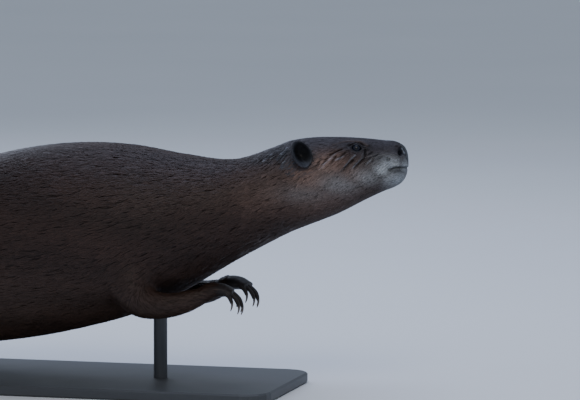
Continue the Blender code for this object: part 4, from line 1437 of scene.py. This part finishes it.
# behind the nose: locks per square cm, length, width, height over the skin, clump size, how far clumps close
coatTable = np.array((
    (0, 95, 2.2, 0.40, 0.25, 2, 0.2),
    (12, 90, 2.8, 0.44, 0.40, 2.4, 0.3),
    (30, 80, 3.8, 0.50, 0.60, 3.2, 0.35),
    (60, 66, 5.5, 0.56, 0.85, 3.6, 0.3),
    (90, 54, 7.5, 0.66, 1.1, 4.4, 0.4),
    (130, 40, 10, 0.80, 1.6, 6, 0.7),
    (170, 28, 13, 0.95, 2, 7.5, 0.8),
    (250, 16.4, 17, 1.12, 2, 7, 0.35),
    (600, 14.4, 21, 1.24, 2.1, 8, 0.32),
    (740, 17.2, 17, 1.12, 2, 7, 0.35),
    (790, 26, 11, 0.90, 1.6, 5, 0.4),
    (852, 40, 6, 0.70, 0.8, 3, 0.3),
))
fineCoat = (28, 8, 0.75, 1.3, 4, 0.5)  # fore legs and shanks
earCoat = (70, 3.6, 0.42, 0.45, 2, 0.3)


def onFineLimb(body):
    fore = rampUp(-body[:, 2], 148, 160) * (body[:, 0] < 318) * (np.abs(body[:, 1]) > 26)
    hind = rampUp(body[:, 0], 700, 725) * (np.abs(body[:, 1]) > 66)
    return np.clip(fore + hind, 0, 1)


def coatValues(body):
    table = np.column_stack([np.interp(body[:, 0], coatTable[:, 0], coatTable[:, k]) for k in range(1, 7)])
    fine, onEar = onFineLimb(body)[:, None], earMarks(body)[0][:, None]
    table = table * (1 - fine) + np.array(fineCoat) * fine
    table = table * (1 - onEar) + np.array(earCoat) * onEar
    table[:, 1] *= 0.45 + 0.55 * rampUp(lidEdge(body), 1.3, 2.8)
    table[:, 1] *= 1 - 0.5 * bareFeet(body)
    return table


def coverage(body):
    # 1 where locks grow
    marks = markings(body)
    grow = 1 - rampUp(marks["bareDark"], 0.35, 0.75)
    grow *= rampUp(lidEdge(body), 1.22, 1.42) * (body[:, 0] < 850 + 5 * ripple(body, 12.0, 9))
    grow *= (1 - rampUp(marks["footSkin"], 0.05, 0.95)) * (1 - earMarks(body)[1])
    for line, depth, width in creases:
        grow *= 1 - alongLine(body, line, 1.2 * width)
    for line in ticks:
        grow *= 1 - 0.8 * alongLine(body, line, 0.8)
    return grow


def plantLocks(points, normals, triangles, corners, share):
    # roots spread evenly over the skin, at a share of the coat's own density
    a, b, c = (points[triangles[:, k]] for k in range(3))
    area = np.linalg.norm(np.cross(b - a, c - a), axis=1) / 2 * 1e4
    running = np.cumsum(area * share)
    count = int(running[-1])
    at = (np.arange(count) + rng.random(count)) / count * running[-1]
    face = np.clip(np.searchsorted(running, at), 0, len(triangles) - 1)
    mix = rng.dirichlet((1, 1, 1), count)
    pick = triangles[face]
    root = sum(points[pick[:, k]] * mix[:, k:k + 1] for k in range(3))
    normal = unit(sum(normals[pick[:, k]] * mix[:, k:k + 1] for k in range(3)))
    return root, normal, sum(corners[face, k] * mix[:, k:k + 1] for k in range(3))


# Two layers: broad flat locks that cover the skin, and thin guard hair over them.
# Sizes are shares of the coat's own; stations run from root to tip.
coatLayers = {
    "cover": {
        "density": 0.30, "width": 2.4, "length": 1.05, "ridge": 0.05, "closes": 0.1, "rounding": 0.22,
        "stations": (0.0, 0.34, 0.7, 1.0), "wide": (0.7, 1.0, 0.8), "rise": (-0.4, 0.55, 0.6, 0.12),
    },
    "guard": {
        "density": 1.0, "width": 0.92, "length": 1.0, "ridge": 0.24, "closes": 1.0, "rounding": 0.5,
        "stations": (0.0, 0.45, 1.0), "wide": (0.75, 1.0), "rise": (-0.3, 0.9, 0.5),
    },
}


def blocked(points):
    # no lock lies across a furrow, the eye, a nostril, the mouth or the ear's hollow
    body = unplace(points)
    across = np.maximum.reduce([
        *(alongLine(body, line, width) for line, depth, width in creases),
        *(alongLine(body, line, 0.6) for line in ticks),
        alongLine(body, mouthLine, mouthPlan["halfWidth"]), nostrilPit(body), earMarks(body)[1],
    ])
    return (across > 0.55) | (lidEdge(body) < 1.12)


lockPlan = {
    "followers": 0.012,  # neighbours to each lock that leads, times clump size and density
    "clumpSwing": 0.07,
    "swing": 0.04,
    "wander": (0.10, 30.0),  # how far the whole coat swings, over how many mm
    "sizes": (0.8, 1.15),
    "tone": 0.09,
    "clumpTone": (0.09, 0.16),  # everywhere, and more on the nape
    "toneWander": (0.2, 34.0),
    "nape": ((155, 30, -25), (34, 34, 26), 0.45),  # middle, reach, how much taller
    "fringe": ((5, 7, 11), 2),
    "combCloses": 0.75,
}


def growLocks(layer, root, normal, uv, tree):
    count = len(root)
    body = unplace(root)
    density, length, width, height, clump, closes = coatValues(body).T
    way = hairWay(body, normal)
    across = np.cross(normal, way)

    # a few locks lead, and their neighbours' tips close up to them
    followers = np.maximum(lockPlan["followers"] * clump**2 * density * layer["density"], 1.5)
    lead = np.flatnonzero(rng.random(count) < 1 / followers)
    leadTree = pointTree(root[lead])
    backed = root - way * (length * 0.25 * mm)[:, None]
    leader = lead[[leadTree.find(p)[1] for p in backed]]
    sideways = ((root[leader] - root) * across).sum(axis=1)
    room = clump * mm
    closes = closes * layer["closes"] * (0.6 + 0.8 * rng.random(count)[leader])
    closing = across * (np.clip(sideways, -room, room) * np.clip(closes, 0, 0.9))[:, None]
    fromMiddle = np.clip(np.abs(sideways) / (0.6 * room), 0, 1) * closes

    wander, swell = lockPlan["wander"]
    swing = wander * ripple(body, swell, 3) + lockPlan["swing"] * rng.normal(size=count)
    swing += lockPlan["clumpSwing"] * rng.normal(size=count)[leader]
    way = unit(way + across * swing[:, None])
    length = length * layer["length"] * rng.uniform(*lockPlan["sizes"], count)
    length = length * (0.9 + 0.2 * rng.random(count)[leader])
    middle, reach, napeTaller = lockPlan["nape"]
    nape = near(body, middle, reach)
    reach, fringeTaller = lockPlan["fringe"]
    fringe = near(body, earPlan["fringe"], reach)
    strength, crest, shift = combed(body)
    parting = ((place(body + shift) - place(body)) * across).sum(axis=1, keepdims=True)
    closing = closing * (1 - strength[:, None]) + lockPlan["combCloses"] * across * parting
    length = length * (1 + 0.5 * fringe)
    height = height * (1.0 - 0.5 * fromMiddle**2) * rng.uniform(0.75, 1.0, count)
    height = height * (1 + napeTaller * nape + fringeTaller * fringe) * (1 + 0.5 * crest * strength)
    width = width * layer["width"] * rng.uniform(*lockPlan["sizes"], count)

    points = np.empty((count, 3 * len(layer["wide"]) + 1, 3))
    sheen = np.empty_like(points)
    spot, here = root, normal
    for k, t in enumerate(layer["stations"]):
        if k:
            before = layer["stations"][k - 1]
            goal = spot + way * ((t - before) * length * mm)[:, None] + closing * (t**1.2 - before**1.2)
            found = [tree.find_nearest(g) for g in goal]
            spot, here = (np.array([f[i] for f in found]) for i in range(2))
            way = unit(way - here * (way * here).sum(axis=1, keepdims=True))
        middle = spot + here * (height * layer["rise"][k] * mm)[:, None]
        if k == len(layer["wide"]):
            points[:, -1], sheen[:, -1] = middle, here
            break
        half = width * layer["wide"][k] * 0.5 * mm
        side = np.cross(here, way)
        for i, edge in enumerate((-1, 0, 1)):
            ridge = (1 - abs(edge)) * 2 * layer["ridge"]
            points[:, 3 * k + i] = middle + (side * edge + here * ridge) * half[:, None]
            sheen[:, 3 * k + i] = unit(here + side * edge * layer["rounding"])
    everywhere, onNape = lockPlan["clumpTone"]
    tone = 0.5 + lockPlan["tone"] * rng.normal(size=count)
    tone = tone + (everywhere + onNape * nape) * rng.normal(size=count)[leader]
    wander, swell = lockPlan["toneWander"]
    tone = np.clip(tone + wander * ripple(body * (0.35, 1, 1), swell, 5), 0, 1)
    grown = {"body": body, "points": points, "sheen": sheen, "tone": tone, "width": width, "uv": uv,
             "middle": unplace(points[:, 4]), "seed": rng.random(count)}
    clear = np.ones(count, bool)
    spine = [*(points[:, 3 * k + 1] for k in range(len(layer["wide"]))), points[:, -1]]
    for k, middle in enumerate(spine):
        clear[clear] = ~blocked(middle[clear])
        if k:
            clear[clear] = ~blocked((middle + spine[k - 1])[clear] / 2)
    return {name: values[clear] for name, values in grown.items()}


def lockTriangles(rings):
    # the upper faces, then the flat underside and the root
    upper, under, last = [], [(0, 1, 2)], 3 * (rings - 1)
    for i in range(3):
        j, faces = (i + 1) % 3, upper if i < 2 else under
        for k in range(0, last, 3):
            faces += [(k + i, k + 3 + i, k + 3 + j), (k + i, k + 3 + j, k + j)]
        faces.append((last + i, last + 3, last + j))
    return np.array(upper + under), np.repeat((1.0, -1.0), (len(upper), len(under)))


def coatPiece(name, grown, keeps, surface):
    # both layers of one stretch of coat, as one mesh
    strand = {"across": 0.6, "along": 1.6}  # hairs across a lock's width, and swells along it
    points, sheen, triangles, uvs, values, strands, start = [], [], [], [], [], [], 0
    for layer, locks, keep in zip(coatLayers.values(), grown, keeps):
        count, size, wide = int(keep.sum()), locks["points"].shape[1], len(layer["wide"])
        along = np.append(np.repeat(layer["stations"][:-1], 3), 1.0)
        across = np.append(np.tile((-1.0, 0.0, 1.0), wide), 0.0)
        faces, facing = lockTriangles(wide)
        triangles.append((faces[None] + size * np.arange(count)[:, None, None]).reshape(-1, 3) + start)
        points.append(locks["points"][keep].reshape(-1, 3))
        sheen.append((locks["sheen"][keep][:, faces] * facing[None, :, None, None]).reshape(-1, 3))
        marks = {**markings(locks["middle"][keep]), "lockTone": locks["tone"][keep]}
        spread = {mark: np.repeat(v, size) for mark, v in marks.items()}
        values.append({**spread, "alongLock": np.tile(along, count)})
        seed = locks["seed"][keep][:, None]
        strands.append(np.column_stack([
            (across * locks["width"][keep][:, None] / strand["across"] + seed * 37).ravel(),
            (along * strand["along"] + seed * 19).ravel(), (seed * 11 + 0 * along).ravel(),
        ]))
        patch = np.column_stack([across / 2, along - 0.5]) * 0.003
        uvs.append((locks["uv"][keep][:, None] + patch[None]).reshape(-1, 2))
        start += size * count
    points, sheen, triangles, uvs = (np.concatenate(part) for part in (points, sheen, triangles, uvs))
    mesh = trianglesMesh(name, points, triangles)
    for mark in values[0]:
        addValues(mesh, mark, np.concatenate([part[mark] for part in values]))
    addValues(mesh, "strandPlace", np.concatenate(strands))
    addBakeMap(mesh, uvs[triangles.ravel()])
    mesh.normals_split_custom_set(sheen)  # a sleek coat shines as one surface
    newPiece(name, mesh, surface)
    print(name, len(triangles), "triangles")


def coatRegions(body):
    b, side, up = body[:, 0], np.abs(body[:, 1]), body[:, 2]
    haunch = (b > 540) & (b < 735) & (side > 72) & (up < -165)
    limb = (onFineLimb(body) > 0.5) | haunch | (b > 735) & (side > 40)
    fore = limb & (b < 330)
    upper = up > np.interp(b, (165, 260, 480, 765), (-70, -95, -130, -185))
    regions = {
        "coatFace": b < 62,
        "coatCheeks": (b >= 62) & (b < 110),
        "coatCrownAndEars": (b >= 110) & (b < 150),
        "coatNeck": (b >= 150) & (b < 250) & ~limb,
    }
    for start, end, above, below in ((250, 385, "coatShoulders", "coatBreast"),
                                     (385, 560, "coatBack", "coatBelly"),
                                     (560, math.inf, "coatRump", "coatVent")):
        trunk = (b >= start) & (b < end) & ~limb
        regions[above], regions[below] = trunk & upper, trunk & ~upper
    regions["coatForeLegs"], regions["coatHindLegs"] = fore & (b >= 150), limb & ~fore & (b >= 150)
    return regions


trunk = makeTrunk()
layOnSkin(trunk)
shapeFace(trunk)
print("trunk and face shaped")
parts, claws, sides = [], {}, ((1, "Left"), (-1, "Right"))
for side, sideName in sides:
    foot = footPlan[sideName.lower()]
    paw, claws["foreClaws" + sideName] = makePaw(side)
    claws["hindClaws" + sideName] = makeHindClaws(foot)
    parts += [plainMesh("ear", [earShell(side)]), paw, plainMesh("foot", [footShell(foot)])]
skinMesh = united(trunk, parts)
print("skin", len(skinMesh.polygons), "triangles")
corners = unwrap(skinMesh)
skinPoints, skinNormals = readMesh(skinMesh)[0], readAll(skinMesh.vertex_normals, "vector").astype(float)
skinTriangles = readAll(skinMesh.loops, "vertex_index", 1, np.int32).reshape(-1, 3)
skinBody = unplace(skinPoints)
tree = BVHTree.FromPolygons(skinPoints.tolist(), skinTriangles.tolist())
print("unwrapped")

grown = []
middles = skinBody[skinTriangles].mean(axis=1)
density = coatValues(middles)[:, 0] * coverage(middles)
for layer in coatLayers.values():
    planted = plantLocks(skinPoints, skinNormals, skinTriangles, corners, density * layer["density"])
    grown.append(growLocks(layer, *planted, tree))
print("locks", [len(locks["uv"]) for locks in grown])

underfur = {"lockTone": 0.4, "alongLock": 0.2, "strand": 0.8, "combed": 0.88}  # tone, and hairs' width in mm
for mark, values in {**markings(skinBody), **toeMarks(skinBody)}.items():
    addValues(skinMesh, mark, values)
for mark in ("lockTone", "alongLock"):
    addValues(skinMesh, mark, np.full(len(skinPoints), underfur[mark]))
skinWay = hairWay(skinBody, skinNormals)
fromHead = skinPoints - place([(80.0, 0.0, -45.0)])
along = (fromHead * skinWay).sum(axis=1, keepdims=True)
strandPlace = (fromHead - skinWay * underfur["combed"] * along) / (underfur["strand"] * mm)
addValues(skinMesh, "strandPlace", strandPlace)
skinMesh.shade_smooth()
skin = newPiece("beaverSkin", skinMesh, wetHide())
fleshNodes = ["head", "lower_jaw", "nose", "neck", "chest", "loins", "rump", "tail_root", "tail_paddle"]
for name in ("ear", "fore_leg", "fore_paw", "haunch", "shank", "hind_foot"):
    fleshNodes += [name + "_left", name + "_right"]
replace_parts(skin, *fleshNodes)

guardHair = wetGuardHair()
regions = [coatRegions(locks["body"]) for locks in grown]
for name in regions[0]:
    coatPiece(name, grown, [region[name] for region in regions], guardHair)

horn = wornClaw()
for name, rings in claws.items():
    mesh = plainMesh(name, [shell(c) for c in rings])
    along = [np.append(np.repeat(np.linspace(0, 1, len(c)), len(c[0])), (0, 1)) for c in rings]
    mesh.shade_smooth()
    addValues(mesh, "alongLock", np.concatenate(along))
    newPiece(name, mesh, horn)

cornea = {"bulge": 0.35, "width": 0.75, "inset": 0.05}
wetEye = darkEyeUnderCornea()
turn = around(40)
for side, sideName in sides:
    looks, ahead, up = eyeAxes(side)
    circle = np.outer(np.cos(turn), ahead) + np.outer(np.sin(turn), up)
    rings, fromPupil = [], []
    for polar in np.linspace(0.06, math.pi - 0.06, 28):
        bulge = cornea["bulge"] * math.exp(-((polar / cornea["width"]) ** 2))
        out = eyePlan["radius"] - cornea["inset"] + bulge
        ring = (looks * math.cos(polar) + circle * math.sin(polar)) * out
        rings.append(place(mirrored(eyePlan["at"], side) + ring))
        fromPupil += [math.sin(polar) if polar < math.pi / 2 else 1.0] * len(turn)
    mesh = plainMesh("eye" + sideName, [shell(rings)])
    mesh.shade_smooth()
    addValues(mesh, "fromPupil", fromPupil + [0, 1])
    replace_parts(newPiece("eye" + sideName, mesh, wetEye), "eye_" + sideName.lower())
print("claws and eyes made")

scalePlan = {
    "along": 6.8,
    "across": 5.6,
    "height": 0.5,
    "gap": 0.25,
    "sizes": (0.92, 1.05),
    "stray": 0.2,
    "tilt": 0.12,  # how much more the end towards the tip stands out
    "ends": 0.985,  # as a share of the tail's length
    "sides": 6,
    "rings": ((1.0, -1.6), (0.94, 0.35), (0.62, 0.85), (0.0, 1.0)),  # shares of its size and of its height
    "crown": (0.0, 0.2, 0.75, 1.0),  # how much paler each ring is
}


def paddleTurns():
    # the angle around the tail that a distance from its midline reaches, at each share of its length
    shares, turns = np.linspace(0, 0.998, 300), np.linspace(0, math.pi / 2, 60)
    arcs = []
    for share in shares:
        steps = np.diff(paddlePoint(np.full(len(turns), share), turns), axis=0)
        arcs.append(np.append(0, np.cumsum(np.linalg.norm(steps, axis=1))))

    def turnAt(share, distance):
        nearest = np.clip(np.rint(share * (len(shares) - 1) / shares[-1]).astype(int), 0, len(shares) - 1)
        found = [np.interp(abs(d), arcs[i], turns) for i, d in zip(nearest, distance)]
        return np.sign(distance) * found

    return turnAt, [arc[-1] for arc in arcs]


def scaleTriangles(sides, rings):
    # the walls between rings, the crown's fan and the underside
    faces = []
    for low in range(0, (rings - 2) * sides, sides):
        for i in range(sides):
            j, high = (i + 1) % sides, low + sides
            faces += [(low + i, low + j, high + j), (low + i, high + j, high + i)]
    top = (rings - 2) * sides
    faces += [(top + sides, top + i, top + (i + 1) % sides) for i in range(sides)]
    return np.array(faces + [(0, i + 1, i) for i in range(1, sides - 1)])


def makeTailScales():
    sides, length = scalePlan["sides"], paddlePlan["length"]
    turn = around(sides)
    hexagon = np.column_stack([np.cos(turn), np.sin(turn)])
    corners = np.vstack([np.tile(hexagon, (len(scalePlan["rings"]) - 1, 1)), (0, 0)])
    rowStep, columnStep = scalePlan["along"] * 0.75, scalePlan["across"] * 0.87
    faces = scaleTriangles(sides, len(scalePlan["rings"]))
    turnAt, reaches = paddleTurns()
    points, triangles, tones, uvs = [], [], [], []
    for row in range(int(length / rowStep)):
        share = (row + 0.7) * rowStep / length
        reach = reaches[min(int(share * 300), 299)]
        steps = int(reach / columnStep)
        for face, k in [(face, k) for face in (1, -1) for k in range(-steps - 1, steps + 1)]:
            side = (k + (0.5 if row % 2 else 0.0)) * columnStep + rng.normal() * scalePlan["stray"]
            if abs(side) > reach + 0.8 or share > scalePlan["ends"]:
                continue
            half = np.array((scalePlan["along"], scalePlan["across"])) / 2 * rng.uniform(*scalePlan["sizes"])
            half -= scalePlan["gap"] / 2
            rings = []
            for scale, lift in scalePlan["rings"]:
                flat = (hexagon if scale else np.zeros((1, 2))) * half * scale
                at = np.clip(share + flat[:, 0] / length, 0, 0.998)
                turned = turnAt(at, side + flat[:, 1])
                turned = turned if face > 0 else math.pi - turned
                _, halfWidth, halfHeight, _ = paddleSize(at)
                out = lift * scalePlan["height"] + scalePlan["tilt"] * flat[:, 0] / scalePlan["along"]
                slopes = np.sin(turned) / halfWidth, np.cos(turned) / halfHeight
                ways = unit(np.column_stack([0 * at, *slopes]))
                rings.append(paddlePoint(at, turned) + ways * out[:, None])
            triangles.append((faces if face > 0 else faces[:, ::-1]) + len(corners) * len(points))
            points.append(np.concatenate(rings))
            tones.append(rng.random())
            # on the bake map, the two faces of the tail lie side by side
            onMap = ((side + 85) / 180 * 0.48 + (0.5 if face < 0 else 0.0), share * 0.96 + 0.02)
            uvs.append(onMap + corners * 0.0015)
    triangles = np.concatenate(triangles)
    crown = np.append(np.repeat(scalePlan["crown"][:-1], sides), scalePlan["crown"][-1])
    mesh = trianglesMesh("tailScales", place(np.concatenate(points)), triangles)
    addValues(mesh, "scaleCrown", np.tile(crown, len(points)))
    addValues(mesh, "lockTone", np.repeat(tones, len(corners)))
    addBakeMap(mesh, np.concatenate(uvs)[triangles.ravel()])
    print("tail scales", len(points))
    return mesh


newPiece("tailScales", makeTailScales(), wetHornyScale())

whiskerPlan = {
    "rows": 4, "perRow": 5, "length": (16, 34), "radius": 0.2, "steps": 10, "sides": 5,
    "first": (11, 20, -23),
    "along": 4.6,
    "rowStep": (1.5, 3.2),  # how far every other row is set back, and how far the rows are apart
    "sunk": 1.5,
    "leaves": (0.75, 0.75, -0.10, -0.12),  # behind, outwards, up, and that much more with each row
    "ends": (1.0, 0.22, -0.45, -0.1),
}


def makeWhiskers():
    shells, steps, sides = [], whiskerPlan["steps"], whiskerPlan["sides"]
    turn = around(sides)
    order = [(side, row, k) for side in (1, -1) for row in range(whiskerPlan["rows"])
             for k in range(whiskerPlan["perRow"])]
    for side, row, k in order:
        (behind, out, up), (back, down) = whiskerPlan["first"], whiskerPlan["rowStep"]
        root = (behind + whiskerPlan["along"] * k + back * (row % 2), side * out, up - down * row)
        found, _ = ontoCore(np.array([root]))
        length = np.interp(k, (0, 4), whiskerPlan["length"]) * rng.uniform(0.85, 1.15)
        leaves, ends = (np.array([behind, side * out, up + more * row])
                        for behind, out, up, more in (whiskerPlan["leaves"], whiskerPlan["ends"]))
        leaves, ends = unit(leaves + rng.normal(size=3) * 0.06), unit(ends)
        point, rings = found[0] - leaves * whiskerPlan["sunk"], []
        for t in np.arange(steps + 1) / steps:
            ahead = unit(leaves + (ends - leaves) * t)
            point = point + ahead * (length / steps if rings else 0)
            first, second = ringAxes(ahead)
            ring = np.outer(np.cos(turn), first) + np.outer(np.sin(turn), second)
            rings.append(place(point + whiskerPlan["radius"] * (1.02 - t) * ring))
        shells.append(shell(rings))
    mesh = plainMesh("whiskers", shells)
    along = np.append(np.repeat(np.linspace(0, 1, steps + 1), sides), (0, 1))
    addValues(mesh, "alongLock", np.tile(along, len(shells)))
    mesh.shade_smooth()
    return mesh


newPiece("whiskers", makeWhiskers(), whiskerHair())

metal = powderCoat()
for name in ("stand_base", "stand_rod_front", "stand_rod_rear"):
    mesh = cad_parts[name].data
    mesh.materials.clear()
    mesh.materials.append(metal)

cameraPlan = {
    "azimuth": math.radians(15),
    "elevation": math.radians(6),
    "lens": 300,
    "distance": 5.558,
    "aim": (0.2511, -0.0011, 0.2240),
}
azimuth, elevation = cameraPlan["azimuth"], cameraPlan["elevation"]
back = Vector((
    math.sin(azimuth) * math.cos(elevation), -math.cos(azimuth) * math.cos(elevation), math.sin(elevation),
))
camera = inScene("camera", bpy.data.cameras.new("camera"))
camera.location = Vector(cameraPlan["aim"]) + back * cameraPlan["distance"]
camera.rotation_euler = back.to_track_quat("Z", "Y").to_euler()
camera.data.lens = cameraPlan["lens"]
camera.data.sensor_width = 36
camera.data.clip_end = 200
bpy.context.scene.camera = camera

floorReach = 40.0
floorCorners = np.array(((-1, -1, 0), (1, -1, 0), (1, 1, 0), (-1, 1, 0))) * floorReach
floor = inScene("studioFloor", trianglesMesh("studioFloor", floorCorners, np.array(((0, 1, 2), (0, 2, 3)))))
floor.data.materials.append(studioPaper())

# where, how big in metres, watts, colour
lightPlan = {
    "overheadSoft": ((0.2, 0.5, 2.2), 2.2, 28, "#cfdcff"),
    "sideSoft": ((0.9, -2.0, 2.2), 1.4, 22, "#fff3e6"),
    "backSoft": ((-1.6, 1.9, 1.6), 1.4, 20, "#dbe6ff"),
}
for name, (where, size, watts, colour) in lightPlan.items():
    light = bpy.data.lights.new(name, "AREA")
    light.shape = "DISK"
    light.size, light.energy, light.color = size, watts, hexColour(colour)[:3]
    lamp = inScene(name, light)
    lamp.location = where
    lamp.rotation_euler = (lamp.location - Vector((0, 0, 0.18))).to_track_quat("Z", "Y").to_euler()

air = {"Color": "#c6d3e6", "Strength": 0.62}
world = bpy.data.worlds.new("studioAir")
world.use_nodes = True
fill(world.node_tree, world.node_tree.nodes["Background"], air)
bpy.context.scene.world = world

print("scene made")
